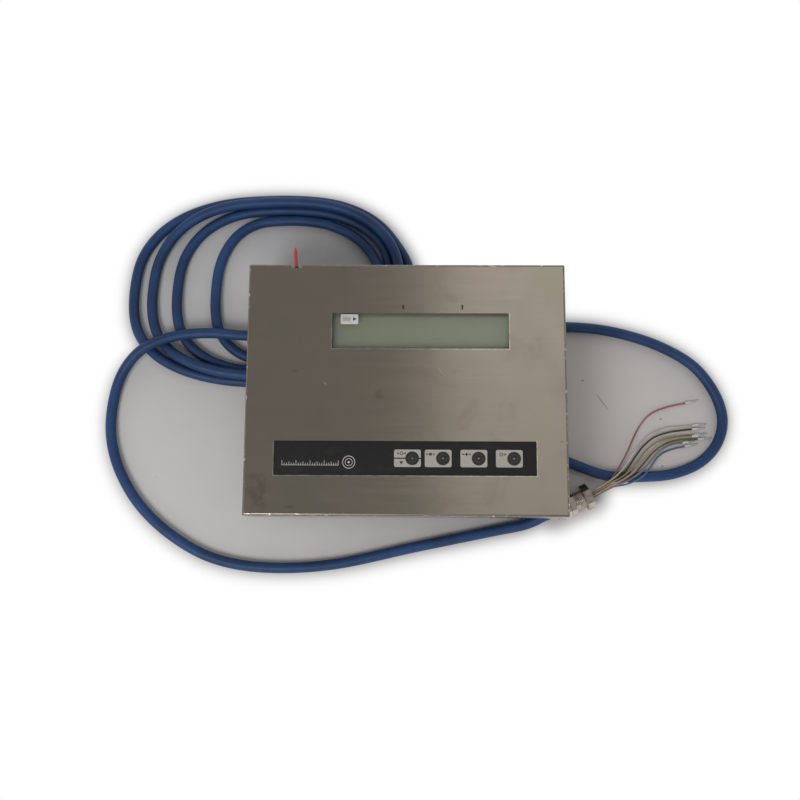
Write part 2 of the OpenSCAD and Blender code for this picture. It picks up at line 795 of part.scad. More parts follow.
module key_1() { key(0); }
module key_2() { key(1); }
module key_3() { key(2); }
module key_4() { key(3); }
module key_dome_1() { key_dome(0); }
module key_dome_2() { key_dome(1); }
module key_dome_3() { key_dome(2); }
module key_dome_4() { key_dome(3); }

module keypad_carrier() {
    color([0.3, 0.3, 0.32]) difference() {
        at_strip() translate([0, 0, carrier_z]) slab(carrier_w, carrier_h, carrier_t, bend_r);
        for (k = [0:len(field_xs) - 1]) at_key(k)
            translate([0, 0, carrier_z - over])
                cylinder(r = key_d / 2 + key_flange + key_gap, h = carrier_t + 2 * over);
        at_strip() at_corners(key_stud_x, key_stud_y)
            translate([0, 0, carrier_z - over]) cylinder(r = m3_hole_r, h = carrier_t + 2 * over);
    }
}

module keypad_board() {
    color([0.1, 0.35, 0.2]) at_strip() difference() {
        translate([0, 0, keypad_board_z]) slab(carrier_w, carrier_h, board_t, bend_r);
        at_corners(key_stud_x, key_stud_y)
            translate([0, 0, keypad_board_z - over]) cylinder(r = m3_hole_r, h = board_t + 2 * over);
    }
}

module keypad_nuts() {
    color([0.75, 0.75, 0.72]) at_strip() at_corners(key_stud_x, key_stud_y)
        translate([0, 0, keypad_board_z - m3_nut_h]) nut(m3_nut_r * sqrt(3), m3_r + screw_gap, m3_nut_h);
}

// Ribbon cables, each with a header at both ends

ribbon_w = 22;
ribbon_t = 0.8;
header_d = 6;
header_h = 7;
main_header_gap = 9;
keypad_ribbon_side = 25;
display_ribbon_y = window_y - 2 * main_header_gap;
keypad_ribbon_x = keypad_ribbon_side - board_w / 2;
display_ribbon_x = entry_x - 2 * main_header_gap;

module ribbon(x, top_y, top_z, foot_y) {
    bend_z = (top_z + board_top) / 2;
    left = x - ribbon_w / 2;
    right = x + ribbon_w / 2;
    box_at([left, top_y, bend_z], [right, top_y + ribbon_t, top_z - over]);
    box_at([left, foot_y, bend_z], [right, top_y + ribbon_t, bend_z + ribbon_t]);
    box_at([left, foot_y, board_top + over], [right, foot_y + ribbon_t, bend_z + ribbon_t]);
    box_at([left - ribbon_t, top_y - header_d / 2, top_z - header_h],
        [right + ribbon_t, top_y + header_d / 2, top_z]);
    box_at([left - ribbon_t, foot_y - header_d / 2, board_top],
        [right + ribbon_t, foot_y + header_d / 2, board_top + header_h]);
}

module display_ribbon() {
    color([0.55, 0.57, 0.6])
        ribbon(display_ribbon_x, display_ribbon_y, lcd_board_z, board_y + board_d / 2 - main_header_gap);
}

module keypad_ribbon() {
    color([0.55, 0.57, 0.6])
        ribbon(keypad_ribbon_x, strip_y, keypad_board_z, board_y - board_d / 2 + main_header_gap);
}

// Main board and what it carries

module main_board() {
    color([0.1, 0.35, 0.2]) translate([0, board_y, board_z]) difference() {
        slab(board_w, board_d, board_t, bend_r);
        at_corners(standoff_x, standoff_y)
            translate([0, 0, -over]) cylinder(r = m3_hole_r, h = board_t + 2 * over);
    }
}

module board_standoffs() {
    color([0.75, 0.74, 0.7]) translate([0, board_y, floor_z]) at_corners(standoff_x, standoff_y) difference() {
        cylinder(r = standoff_r, h = standoff_h);
        translate([0, 0, standoff_h / 3]) cylinder(r = m3_r + screw_gap, h = standoff_h);
    }
}

module board_screws() {
    color([0.7, 0.7, 0.7]) translate([0, board_y, board_top]) at_corners(standoff_x, standoff_y) {
        cylinder(r = m3_nut_r - clear_t, h = m3_nut_h - clear_t);
        translate([0, 0, -standoff_h / 2]) cylinder(r = m3_r, h = standoff_h / 2 + over);
    }
}

processor_side = 24;
memory_w = 16;
memory_d = 10;
chip_h = 2;
processor_share = 0.4;
memory_x_share = 0.1684;
memory_y_shares = [0.4, 0.2];
module processor_chips() {
    color([0.07, 0.07, 0.07]) translate([0, board_y - board_d / 2, board_top]) {
        chip(0, processor_share * board_d, processor_side, processor_side, chip_h);
        for (s = memory_y_shares) chip(memory_x_share * board_w, s * board_d, memory_w, memory_d, chip_h);
    }
}

shield_w = 44;
shield_d = 32;
shield_h = 9;
shield_x_share = 0.3264;
shield_y_share = 0.16;
shield_t = 0.6;
module adc_shield() {
    color([0.72, 0.72, 0.7]) translate([shield_x_share * board_w, board_y + shield_y_share * board_d, board_top]) difference() {
        slab(shield_w, shield_d, shield_h, shield_t);
        translate([0, 0, -over]) slab(shield_w - 2 * shield_t, shield_d - 2 * shield_t,
            shield_h - shield_t + over, shield_t);
    }
}

capacitor_rs = [5, 4, 4];
capacitor_h = 14;
capacitor_x_shares = [0.2632, 0.3421, 0.4211];
capacitor_y_share = 0.15;
module capacitors() {
    color([0.15, 0.2, 0.35]) for (k = [0:len(capacitor_rs) - 1])
        translate([capacitor_x_shares[k] * board_w, board_y - board_d / 2 + capacitor_y_share * board_d, board_top])
            cylinder(r = capacitor_rs[k], h = capacitor_h);
}

barrier_w = 46;
barrier_d = 34;
barrier_h = 16;
barrier_side = 35;
barrier_x = barrier_side - board_w / 2;
module barrier_module() {
    color([0.1, 0.25, 0.55]) translate([barrier_x, board_y, board_top]) slab(barrier_w, barrier_d, barrier_h, bend_r);
}

fuse_r = 2.5;
fuse_l = 20;
fuse_cap_l = 5;
fuse_rise = 4.5;
fuse_y_share = 0.1333;
module fuse() {
    color([0.8, 0.78, 0.7]) translate([0, board_y - board_d / 2 + fuse_y_share * board_d, board_top]) {
        translate([-fuse_l / 2, 0, fuse_rise]) rotate([0, quarter, 0]) cylinder(r = fuse_r - screw_gap * 4, h = fuse_l);
        for (side = corner_sides) translate([side * (fuse_l - fuse_cap_l) / 2, 0, 0]) {
            translate([-fuse_cap_l / 2, 0, fuse_rise]) rotate([0, quarter, 0]) cylinder(r = fuse_r, h = fuse_cap_l);
            translate([-fuse_cap_l / 2, -fuse_r, 0]) cube([fuse_cap_l, 2 * fuse_r, fuse_rise]);
        }
    }
}

core_count = 8;
terminal_step = 5;
terminal_w = core_count * terminal_step;
terminal_d = 11;
terminal_h = 13;
terminal_y = board_y + board_d / 2 - terminal_d;
terminal_hole_z = board_top + terminal_h / 3;
terminal_hole_r = 1.2;
terminal_x = entry_x + main_header_gap * 2;
function terminal_place(k) = terminal_x + (k - (core_count - 1) / 2) * terminal_step;
module terminal_block() {
    color([0.2, 0.45, 0.25]) difference() {
        box_at([terminal_x - terminal_w / 2, terminal_y, board_top],
            [terminal_x + terminal_w / 2, terminal_y + terminal_d, board_top + terminal_h]);
        for (k = [0:core_count - 1]) {
            along_y(terminal_place(k), terminal_y + terminal_d / 2, terminal_hole_z)
                cylinder(r = terminal_hole_r, h = terminal_d);
            translate([terminal_place(k), terminal_y + terminal_d / 3, board_top + terminal_h - terminal_hole_r])
                cylinder(r = terminal_hole_r, h = terminal_h);
        }
    }
}

// Glands, plugs and stud in the bay's wall

module nickel() {
    color([0.72, 0.7, 0.66]) children();
}

module gland_body(inner_l, hex_l, neck_l) {
    // Thread up to zero, then the hexagon, then the neck that the dome nut turns on
    difference() {
        union() {
            translate([0, 0, -inner_l]) cylinder(r = gland_r, h = inner_l + over);
            hexagon(gland_af, hex_l);
            cylinder(r = gland_r - clear_t * 3, h = hex_l + neck_l);
        }
        translate([0, 0, -inner_l - over]) cylinder(r = gland_bore_r, h = inner_l + hex_l + neck_l + 2 * over);
    }
}

module dome_nut(l, neck_l) {
    // Open at zero, its round mouth at the far end
    flat_share = 0.55;
    mouth_r = gland_bore_r + sheet_t;
    difference() {
        union() {
            hexagon(gland_af, l * flat_share);
            translate([0, 0, l * flat_share - over])
                cylinder(r1 = gland_af / 2 - clear_t, r2 = mouth_r + sheet_t, h = l * (1 - flat_share) + over);
        }
        translate([0, 0, -over]) cylinder(r = gland_r - clear_t * 2, h = l - sheet_t * 2);
        translate([0, 0, -over]) cylinder(r = gland_bore_r, h = l + 2 * over);
    }
}

entry_body_y = bay_y + washer_t;
entry_inner_y = bay_y - sheet_t - locknut_t;

module entry_gland_body() {
    nickel() along_y(entry_x, entry_body_y, entry_z)
        gland_body(entry_body_y - entry_inner_y + sheet_t, gland_hex_l, entry_neck_l);
}

module entry_gland_nut() {
    nickel() along_y(entry_x, dome_y, entry_z) dome_nut(dome_l, entry_neck_l);
}

module entry_gland_seal() {
    bush_y = entry_body_y + gland_hex_l + entry_neck_l + part_gap;
    bush_l = dome_y + dome_l - 2 * sheet_t - 2 * part_gap - bush_y;
    color([0.1, 0.1, 0.1]) {
        along_y(entry_x, bay_y, entry_z) difference() {
            cylinder(r = gland_af / 2, h = washer_t);
            translate([0, 0, -over]) cylinder(r = gland_r + screw_gap, h = washer_t + 2 * over);
        }
        along_y(entry_x, bush_y, entry_z) difference() {
            cylinder(r = gland_r - clear_t * 2 - part_gap, h = bush_l);
            translate([0, 0, -over]) cylinder(r = cable_r + screw_gap, h = bush_l + 2 * over);
        }
    }
}

module entry_gland_locknut() {
    nickel() along_y(entry_x, entry_inner_y, entry_z) nut(gland_af, gland_r + screw_gap, locknut_t);
}

module blanking_plugs() {
    nickel() for (x = plug_xs) {
        along_y(x, bay_y, entry_z) hexagon(plug_af, plug_head_l);
        along_y(x, entry_inner_y - sheet_t, entry_z)
            cylinder(r = gland_r, h = bay_y - entry_inner_y + sheet_t + over);
        along_y(x, entry_inner_y, entry_z) nut(plug_af, gland_r + screw_gap, locknut_t);
    }
}

module earth_stud() {
    head_t = sheet_t;
    color([0.8, 0.68, 0.35]) {
        along_y(stud_x, bay_y - sheet_t - head_t, entry_z) cylinder(r = stud_d, h = head_t);
        along_y(stud_x, bay_y - sheet_t - over, entry_z)
            cylinder(r = stud_d / 2 - screw_gap, h = sheet_t + stud_nut_t + 2 * over);
        along_y(stud_x, bay_y + stud_nut_t, entry_z) cylinder(d = stud_d, h = stud_free);
        along_y(stud_x, bay_y, entry_z) hexagon(stud_nut_af, stud_nut_t);
    }
}

plate_w = 60;
plate_d = 24;
plate_t = 0.5;
plate_gap = 28;
plate_y = bay_y - plate_gap - plate_d / 2;
module nameplate() {
    color([0.8, 0.8, 0.8]) translate([0, plate_y, foot_h - plate_t]) slab(plate_w, plate_d, plate_t, label_r);
}

module seal_cord() {
    color([0.6, 0.08, 0.08])
        tube(seal_route, seal_cord_d / 2, tube_sides, [0, 1, 0], [0, 1, 0], [1, 0, 0]);
}

// The cable, from the terminals to its far end

jacket_y = entry_inner_y - washer_t * 4;
module blue() {
    color([0.1, 0.2, 0.45]) children();
}

module inner_cable() {
    blue() along_y(entry_x, jacket_y, entry_z) cylinder(r = cable_r, h = entry_mouth_y - jacket_y);
}

core_turn = coil_turn / core_count;
function core_seat(k) = core_ring * [cos(k * core_turn + core_turn / 2), sin(k * core_turn + core_turn / 2)];

module inner_cores() {
    color([0.85, 0.85, 0.8]) for (k = [0:core_count - 1]) {
        // The cores lie in the order of the terminals, so that none crosses another
        order = [3, 4, 2, 5, 1, 6, 0, 7];
        seat = core_seat(order[k]);
        wire_end = terminal_y + terminal_d / 2 + part_gap;
        tube([[entry_x + seat.x, jacket_y, entry_z + seat.y],
            [entry_x + seat.x, jacket_y - terminal_step, entry_z + seat.y],
            [terminal_place(k), wire_end + terminal_d, terminal_hole_z],
            [terminal_place(k), wire_end, terminal_hole_z]],
            core_d / 2, tube_sides, [0, -1, 0], [0, -1, 0]);
    }
}

module cable_lead() {
    blue() tube(lead_route, cable_r, tube_sides, [0, 1, 0], [-1, 0, 0]);
}

module cable_coil() {
    report_coil_gap();
    blue() tube(coil_route, cable_r, coil_sides, [-1, 0, 0], [1, 0, 0]);
}

far_axis = [cos(far_angle), sin(far_angle), 0];

module cable_run() {
    blue() tube(smoothed(run_route), cable_r, tube_sides, [1, 0, 0], far_axis);
}

module at_far_end(l) {
    translate(far_tip + far_axis * l) rotate([0, 0, far_angle]) rotate([0, quarter, 0])
        rotate([0, 0, coil_turn / 12]) children();
}

module far_gland_body() {
    nickel() at_far_end(far_dome_l + far_hex_l) rotate([coil_turn / 2, 0, 0])
        gland_body(far_thread_l + far_nut_l, far_hex_l - clear_t, far_dome_l / 2);
}

module far_gland_nut() {
    nickel() at_far_end(far_dome_l) rotate([coil_turn / 2, 0, 0]) dome_nut(far_dome_l, far_dome_l / 2);
}

module far_lock_nut() {
    nickel() at_far_end(far_dome_l + far_hex_l + far_thread_l - part_gap)
        nut(gland_af, gland_r + screw_gap, far_nut_l);
}

// The cores leave the gland as a ring, which widens where it crosses the cable
core_lead = 6;
core_spread = 1.2;
core_crossing = [181, -74.5, 13.2];
far_seats = [7, 6, 1, 5, 3, 0, 2, 4];
function far_seat(k) =
    let (seat = core_seat(far_seats[k])) [-sin(far_angle) * seat.x, cos(far_angle) * seat.x, seat.y];
function core_route(k) = concat(
    [for (l = [0, core_lead]) far_tip + far_axis * (far_cores_at + l) + far_seat(k)],
    [core_crossing + core_spread * far_seat(k)], core_routes[k]);
function core_end(k) = core_routes[k][len(core_routes[k]) - 1];
function core_heading(k) =
    let (route = core_routes[k], p = core_end(k) - route[len(route) - 2]) unit([p.x, p.y, 0]);

module cable_cores() {
    color([0.85, 0.8, 0.5]) for (k = [0:core_count - 1])
        tube(smoothed(core_route(k)), core_d / 2, tube_sides, far_axis, core_heading(k));
}

module core_ferrules() {
    color([0.92, 0.92, 0.9]) for (k = [0:core_count - 1])
        translate(core_end(k)) rotate([0, 0, atan2(core_heading(k).y, core_heading(k).x)]) rotate([0, quarter, 0]) {
            cylinder(d = ferrule_d, h = ferrule_l);
            translate([0, 0, ferrule_l - over]) cylinder(d = core_d - 2 * ferrule_wall, h = ferrule_pin_l + over);
        }
}

front_cover();
base_tray();
housing_gasket();
cover_screws();
rubber_feet();
foot_screws();
mounting_inserts();
window_gasket();
window_pane();
window_label();
limit_marks();
display_frame();
lcd_glass();
lcd_backlight();
lcd_board();
lcd_driver_chips();
display_nuts();
keypad_foil();
key_fields();
key_1();
key_2();
key_3();
key_4();
key_dome_1();
key_dome_2();
key_dome_3();
key_dome_4();
keypad_carrier();
keypad_board();
keypad_nuts();
display_ribbon();
keypad_ribbon();
main_board();
board_standoffs();
board_screws();
processor_chips();
adc_shield();
capacitors();
barrier_module();
fuse();
terminal_block();
entry_gland_body();
entry_gland_nut();
entry_gland_seal();
entry_gland_locknut();
blanking_plugs();
earth_stud();
nameplate();
seal_cord();
inner_cable();
inner_cores();
cable_lead();
cable_coil();
cable_run();
far_gland_body();
far_gland_nut();
far_lock_nut();
cable_cores();
core_ferrules();
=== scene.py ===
"""Weighing indicator with a stainless housing, a key strip and a long blue cable."""
import math

import bmesh
import bpy
import numpy as np
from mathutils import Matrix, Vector, kdtree


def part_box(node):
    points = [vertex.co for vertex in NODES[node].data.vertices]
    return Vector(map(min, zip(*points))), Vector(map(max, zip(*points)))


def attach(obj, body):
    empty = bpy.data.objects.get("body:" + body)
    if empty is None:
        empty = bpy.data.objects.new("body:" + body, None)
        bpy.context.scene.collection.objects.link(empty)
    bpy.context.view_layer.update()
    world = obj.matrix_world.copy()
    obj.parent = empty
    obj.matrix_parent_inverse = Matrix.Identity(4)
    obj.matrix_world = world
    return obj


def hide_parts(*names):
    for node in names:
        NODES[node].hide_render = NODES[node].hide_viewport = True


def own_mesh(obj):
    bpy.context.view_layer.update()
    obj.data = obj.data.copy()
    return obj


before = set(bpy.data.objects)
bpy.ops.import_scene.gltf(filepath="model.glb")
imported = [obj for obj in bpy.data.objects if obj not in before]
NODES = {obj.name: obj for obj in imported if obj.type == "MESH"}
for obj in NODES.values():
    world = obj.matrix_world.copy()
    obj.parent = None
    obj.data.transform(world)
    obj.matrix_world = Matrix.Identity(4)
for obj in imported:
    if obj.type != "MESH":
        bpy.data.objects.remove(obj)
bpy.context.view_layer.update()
MM = 0.001

# Heights of the key fields, the key strip and the label, and the thickness of a print, in millimetres
FIELD_Z = 85.4
FOIL_Z = 85.3
LABEL_Z = 84.05
PRINT_T = 0.04
# Lowest and highest x and y of the cover's openings for the window and for the key strip, in metres
OPENINGS = (((-0.0618, 0.033), (0.0852, 0.063)),
            ((-0.1077, -0.072), (0.1063, -0.044)))


# Camera

def make_camera():
    """The photograph's camera, almost straight above the face."""
    data = bpy.data.cameras.new("camera")
    data.lens = 40.5
    data.sensor_width = 36.0
    data.clip_start = 0.01
    camera = bpy.data.objects.new("camera", data)
    camera.location = (0.0040, -0.1192, 0.8167)
    camera.rotation_euler = [math.radians(a) for a in (8.49, 0.66, 0.31)]
    bpy.context.scene.collection.objects.link(camera)
    bpy.context.scene.camera = camera


make_camera()


# Materials, built node by node

# Sockets of a Mix node that blends colours
MIX_A, MIX_B, MIX_RESULT = 6, 7, 2


class Graph:
    """A node tree, with short calls for the nodes in it."""

    def __init__(self, tree, coords):
        self.tree = tree
        self.coords = self.node("ShaderNodeTexCoord").outputs[coords]

    def node(self, kind, **settings):
        made = self.tree.nodes.new(kind)
        for key, value in settings.items():
            setattr(made, key, value)
        return made

    def feed(self, socket, value):
        """Links a node's output to the socket, or sets the socket to a number or a colour."""
        if isinstance(value, bpy.types.NodeSocket):
            self.tree.links.new(value, socket)
        elif isinstance(value, (tuple, list)) and len(value) == 3 and socket.type == "RGBA":
            socket.default_value = (*value, 1.0)
        else:
            socket.default_value = value

    def split(self):
        made = self.node("ShaderNodeSeparateXYZ")
        self.feed(made.inputs[0], self.coords)
        return made.outputs["X"], made.outputs["Y"], made.outputs["Z"]

    def scaled(self, x, y, z, turn=(0, 0, 0)):
        """The coordinates stretched by a factor on each axis."""
        made = self.node("ShaderNodeMapping")
        made.inputs["Scale"].default_value = (x, y, z)
        made.inputs["Rotation"].default_value = turn
        self.feed(made.inputs["Vector"], self.coords)
        return made.outputs["Vector"]

    def noise(self, scale, detail=3.0, rough=0.5, coords=None, bend=0.0):
        made = self.node("ShaderNodeTexNoise")
        self.feed(made.inputs["Vector"], coords or self.coords)
        made.inputs["Scale"].default_value = scale
        made.inputs["Detail"].default_value = detail
        made.inputs["Roughness"].default_value = rough
        made.inputs["Distortion"].default_value = bend
        return made.outputs["Fac"]

    def cells(self, scale, coords=None):
        made = self.node("ShaderNodeTexVoronoi")
        self.feed(made.inputs["Vector"], coords or self.coords)
        made.inputs["Scale"].default_value = scale
        return made.outputs["Distance"]

    def calc(self, operation, a, b=0.0, clamp=False):
        made = self.node("ShaderNodeMath", operation=operation, use_clamp=clamp)
        self.feed(made.inputs[0], a)
        self.feed(made.inputs[1], b)
        return made.outputs[0]

    def plus(self, a, b, clamp=False):
        return self.calc("ADD", a, b, clamp)

    def minus(self, a, b):
        return self.calc("SUBTRACT", a, b)

    def times(self, a, b):
        return self.calc("MULTIPLY", a, b)

    def over(self, a, b):
        return self.calc("DIVIDE", a, b)

    def least(self, a, b):
        return self.calc("MINIMUM", a, b)

    def most(self, a, b):
        return self.calc("MAXIMUM", a, b)

    def ease(self, value, low, high, out_low=0.0, out_high=1.0):
        """A smooth step from out_low to out_high, as the value goes from low to high."""
        made = self.node("ShaderNodeMapRange", interpolation_type="SMOOTHSTEP")
        for key, number in zip(("Value", "From Min", "From Max", "To Min", "To Max"),
                               (value, low, high, out_low, out_high)):
            self.feed(made.inputs[key], number)
        return made.outputs["Result"]

    def fall(self, value, low, high):
        """A smooth step down from 1 to 0."""
        return self.ease(value, low, high, 1.0, 0.0)

    def blend(self, share, a, b):
        made = self.node("ShaderNodeMix", data_type="RGBA")
        self.feed(made.inputs["Factor"], share)
        self.feed(made.inputs[MIX_A], a)
        self.feed(made.inputs[MIX_B], b)
        return made.outputs[MIX_RESULT]

    def tint(self, base, mask, amount, colour):
        """The base with a colour over it, as strong as the mask times the amount."""
        return self.blend(self.times(mask, amount), base, colour)

    def bump(self, height, strength, distance, under=None):
        made = self.node("ShaderNodeBump")
        made.inputs["Strength"].default_value = strength
        made.inputs["Distance"].default_value = distance
        self.feed(made.inputs["Height"], height)
        if under is not None:
            self.feed(made.inputs["Normal"], under)
        return made.outputs["Normal"]

    def spot(self, x, y, half_x, half_y, soft, turn=0.0):
        """A mask that is 1 in the middle of an upright elliptic column and 0 outside it, in millimetres."""
        px, py, _ = self.split()
        dx, dy = self.minus(px, x * MM), self.minus(py, y * MM)
        c, s = math.cos(math.radians(turn)), math.sin(math.radians(turn))
        along = self.plus(self.times(dx, c), self.times(dy, s))
        across = self.minus(self.times(dy, c), self.times(dx, s))
        far = self.plus(self.calc("POWER", self.over(along, half_x * MM), 2.0),
                        self.calc("POWER", self.over(across, half_y * MM), 2.0))
        return self.fall(far, 1.0 - soft, 1.0 + soft)

    def spots(self, soft, *rows):
        """The strongest of several spots, each given by x, y, half_x, half_y and turn."""
        mask = None
        for x, y, half_x, half_y, turn in rows:
            spot = self.spot(x, y, half_x, half_y, soft, turn)
            mask = spot if mask is None else self.most(mask, spot)
        return mask

    def mix_shaders(self, share, a, b):
        made = self.node("ShaderNodeMixShader")
        for socket, value in zip(made.inputs, (share, a, b)):
            self.feed(socket, value)
        return made.outputs[0]


class Shade(Graph):
    """A material with a Principled shader. Its colour and rough are the plain values under the nodes."""

    def __init__(self, name, colour, rough, **sockets):
        self.material = bpy.data.materials.new(name)
        self.material.use_nodes = True
        super().__init__(self.material.node_tree, "Object")
        self.shader = self.tree.nodes["Principled BSDF"]
        self.output = self.tree.nodes["Material Output"]
        self.put("Base Color", colour)
        self.put("Roughness", rough)
        for key, value in sockets.items():
            self.put(key.replace("_", " "), value)

    def put(self, name, value):
        self.feed(self.shader.inputs[name], value)

    def rough_by(self, mask, amount, base):
        """Sets a roughness that rises above the base by the mask times the amount."""
        self.put("Roughness", self.plus(self.times(mask, amount), base))


def cut_rim_highlight(s):
    """A mask of the painted highlight on the cut edge at the left, right and front of both openings in the
    cover.
    """
    px, py, pz = s.split()
    rim_highlight = None
    for low, high in OPENINGS:
        middle, half_w = (low[0] + high[0]) / 2, (high[0] - low[0]) / 2
        out_x = s.minus(s.calc("ABSOLUTE", s.minus(px, middle)), half_w)
        out_y = s.minus(low[1], py)
        out = s.most(out_x, out_y)
        mask = s.times(s.ease(out, -0.0004, 0.0), s.fall(out, 0.0005, 0.0010))
        mask = s.times(mask, s.fall(py, high[1] + 0.0002, high[1] + 0.0008))
        mask = s.times(mask, s.fall(out_y, 0.0008, 0.0012))
        mask = s.times(mask, s.fall(out_x, 0.0008, 0.0012))
        rim_highlight = mask if rim_highlight is None else s.most(rim_highlight, mask)
    rim_highlight = s.times(rim_highlight, s.ease(s.noise(150.0, 3.0, 0.6), 0.38, 0.6, 0.15, 0.6))
    return s.times(rim_highlight, s.ease(pz, 0.0835, 0.0845))


def stainless():
    """Brushed sheet: grain along X, stains, specks, grime at the corners, a smear and scratches, painted
    shade along the folds and in the seal's notch, and a painted highlight on the openings' cut edges.
    """
    s = Shade("stainless_brushed", (0.48, 0.435, 0.355), 0.2, Metallic=1.0)
    grain = s.noise(1.0, 3.0, 0.55, s.scaled(26, 2600, 2600))
    broad = s.noise(1.0, 2.0, 0.5, s.scaled(9, 240, 240))
    stain = s.noise(24.0, 4.0, 0.6, bend=0.7)
    clouds = s.noise(7.0, 3.0, 0.5)
    px, py, pz = s.split()
    corner = s.times(s.ease(px, -0.02, -0.12), s.ease(py, -0.02, -0.1))
    stained = s.times(s.ease(stain, 0.5, 0.66), s.plus(s.times(corner, 0.7), 0.25))
    specks = s.ease(s.cells(520.0, s.scaled(1.0, 1.6, 1.0)), 0.10, 0.05)
    sparse = s.times(specks, s.ease(s.noise(40.0, 2.0), 0.58, 0.66))
    smear = s.spot(85.5, 75.6, 9.5, 2.0, 0.7, 4)
    scratch = s.spots(0.6, (27.6, 14.6, 2.4, 0.4, -57), (31.0, 10.6, 1.6, 0.4, -40),
                      (101, -22, 5.0, 0.22, 35), (-67, 3.6, 2.2, 0.7, -45))

    base = s.blend(grain, (0.46, 0.41, 0.335), (0.54, 0.48, 0.39))
    base = s.tint(base, clouds, 0.5, (0.44, 0.36, 0.30))
    olive = s.ease(s.noise(11.0, 3.0, 0.55, s.scaled(1.0, 0.8, 1.0, (0, 0, 1.1))), 0.5, 0.7)
    base = s.tint(base, olive, 0.55, (0.40, 0.385, 0.29))
    base = s.blend(stained, base, (0.34, 0.29, 0.225))
    base = s.tint(base, sparse, 0.6, (0.20, 0.17, 0.13))
    grime = s.spots(0.8, (-119.5, -84.5, 9, 15, 10), (53.4, -18.8, 1.8, 0.7, -70), (45.7, -34, 1.6, 1.0, 30),
                    (127, -44, 1.3, 0.9, 40), (-92, 13.5, 2.6, 1.8, 0), (-94.7, -97.8, 6.0, 1.0, 5),
                    (-22, -6, 4.5, 4.0, 0))
    grime = s.times(grime, s.ease(s.noise(120.0, 4.0, 0.65), 0.38, 0.62))
    base = s.tint(base, grime, 0.42, (0.25, 0.19, 0.145))
    # Painted shade: the walls of the notch for the seal cord are darkened almost to black.
    notch_shade = s.times(s.spot(-93, 103.6, 8, 5, 0.3), s.ease(pz, 0.0846, 0.0840))
    base = s.blend(s.times(notch_shade, s.ease(pz, 0.068, 0.078)), base, (0.10, 0.09, 0.075))
    # Painted highlight: a near-white line along the cut edges of both openings.
    base = s.blend(cut_rim_highlight(s), base, (0.95, 0.92, 0.80))
    base = s.tint(base, scratch, 0.3, (0.80, 0.75, 0.66))
    base = s.tint(base, smear, 0.18, (0.74, 0.70, 0.62))
    # Painted shade: the folds along the cover's edges are darkened, and further down they are made rougher.
    fold_shade = s.most(s.ease(s.calc("ABSOLUTE", px), 0.1303, 0.1310),
                  s.ease(s.calc("ABSOLUTE", py), 0.1028, 0.1035))
    fold_shade = s.times(fold_shade, s.ease(pz, 0.0830, 0.0845))
    fold_shade = s.times(fold_shade, s.ease(s.noise(260.0, 3.0, 0.6), 0.68, 0.56))
    # The painted shade on the folds goes into the colour here.
    s.put("Base Color", s.tint(base, fold_shade, 0.8, (0.13, 0.115, 0.095)))

    rough = s.plus(s.times(broad, 0.07), 0.105)
    rough = s.plus(rough, s.times(fold_shade, 0.22))
    rough = s.plus(rough, s.times(stained, 0.12))
    s.put("Roughness", s.plus(rough, s.times(s.most(scratch, smear), 0.1), True))
    normal = s.bump(grain, 0.35, 0.00004)
    normal = s.bump(clouds, 0.25, 0.0012, normal)
    normal = s.bump(smear, 0.12, 0.0004, normal)
    s.put("Normal", s.bump(scratch, 0.12, 0.00015, normal))
    return s.material


def metal(name, colour, dark, rough, scale=220.0, grain=0.1):
    """Turned or plated metal with dull patches."""
    s = Shade(name, colour, rough, Metallic=1.0)
    patches = s.noise(scale, 4.0, 0.6, bend=0.4)
    fine = s.noise(scale * 14, 2.0, 0.5)
    s.put("Base Color", s.blend(s.ease(patches, 0.35, 0.7), colour, dark))
    s.rough_by(patches, 0.24, rough - 0.08)
    s.put("Normal", s.bump(fine, grain, 0.0001))
    return s.material


def plastic(name, colour, other, rough, scale=300.0, grain=0.12, depth=0.0001):
    """Moulded plastic, rubber or paint: fine grain, and a slow change of colour."""
    s = Shade(name, colour, rough)
    slow = s.noise(scale * 0.16, 3.0, 0.5)
    fine = s.noise(scale * 9, 2.0, 0.6)
    s.put("Base Color", s.blend(s.ease(slow, 0.3, 0.72), colour, other))
    s.rough_by(slow, 0.16, rough - 0.08)
    s.put("Normal", s.bump(fine, grain, depth))
    return s.material


def board():
    """Solder mask with tracks that show faintly through it."""
    s = Shade("board_mask", (0.02, 0.09, 0.045), 0.35)
    tracks = s.calc("GREATER_THAN", s.cells(620.0, s.scaled(1.0, 0.35, 1.0)), 0.33)
    weave = s.noise(2400.0, 2.0)
    s.put("Base Color", s.tint((0.018, 0.085, 0.04), tracks, 0.5, (0.035, 0.15, 0.07)))
    s.rough_by(weave, 0.15, 0.28)
    s.put("Normal", s.bump(tracks, 0.25, 0.00004))
    return s.material


def display_glass():
    """Unlit reflective display, a little lighter to the right, with a fine texture, and dark borders at the
    left and top that are partly its own dark surround and partly painted shadow of the window frame.
    """
    s = Shade("display_glass", (0.17, 0.19, 0.12), 0.35, Coat_Weight=0.35, Coat_Roughness=0.12)
    px, py, _ = s.split()
    share = s.plus(s.ease(px, -0.06, 0.085, 0.0, 0.75), s.times(s.noise(30.0, 2.0), 0.25))
    tone = s.blend(share, (0.118, 0.132, 0.065), (0.195, 0.212, 0.132))
    rows = s.noise(1.0, 1.0, 0.5, s.scaled(4200, 900, 1))
    tone = s.tint(tone, rows, 0.16, (0.11, 0.125, 0.08))
    # Dark borders at the left and top: partly the display's dark surround, partly painted shadow of the
    # window frame.
    border = s.most(s.ease(px, -0.0618, -0.0570, 0.8, 0.0), s.ease(py, 0.0610, 0.0632, 0.0, 0.75))
    s.put("Base Color", s.blend(border, tone, (0.02, 0.022, 0.016)))
    s.rough_by(s.noise(160.0), 0.2, 0.25)
    s.put("Normal", s.bump(s.noise(900.0, 2.0), 0.05, 0.0001))
    return s.material


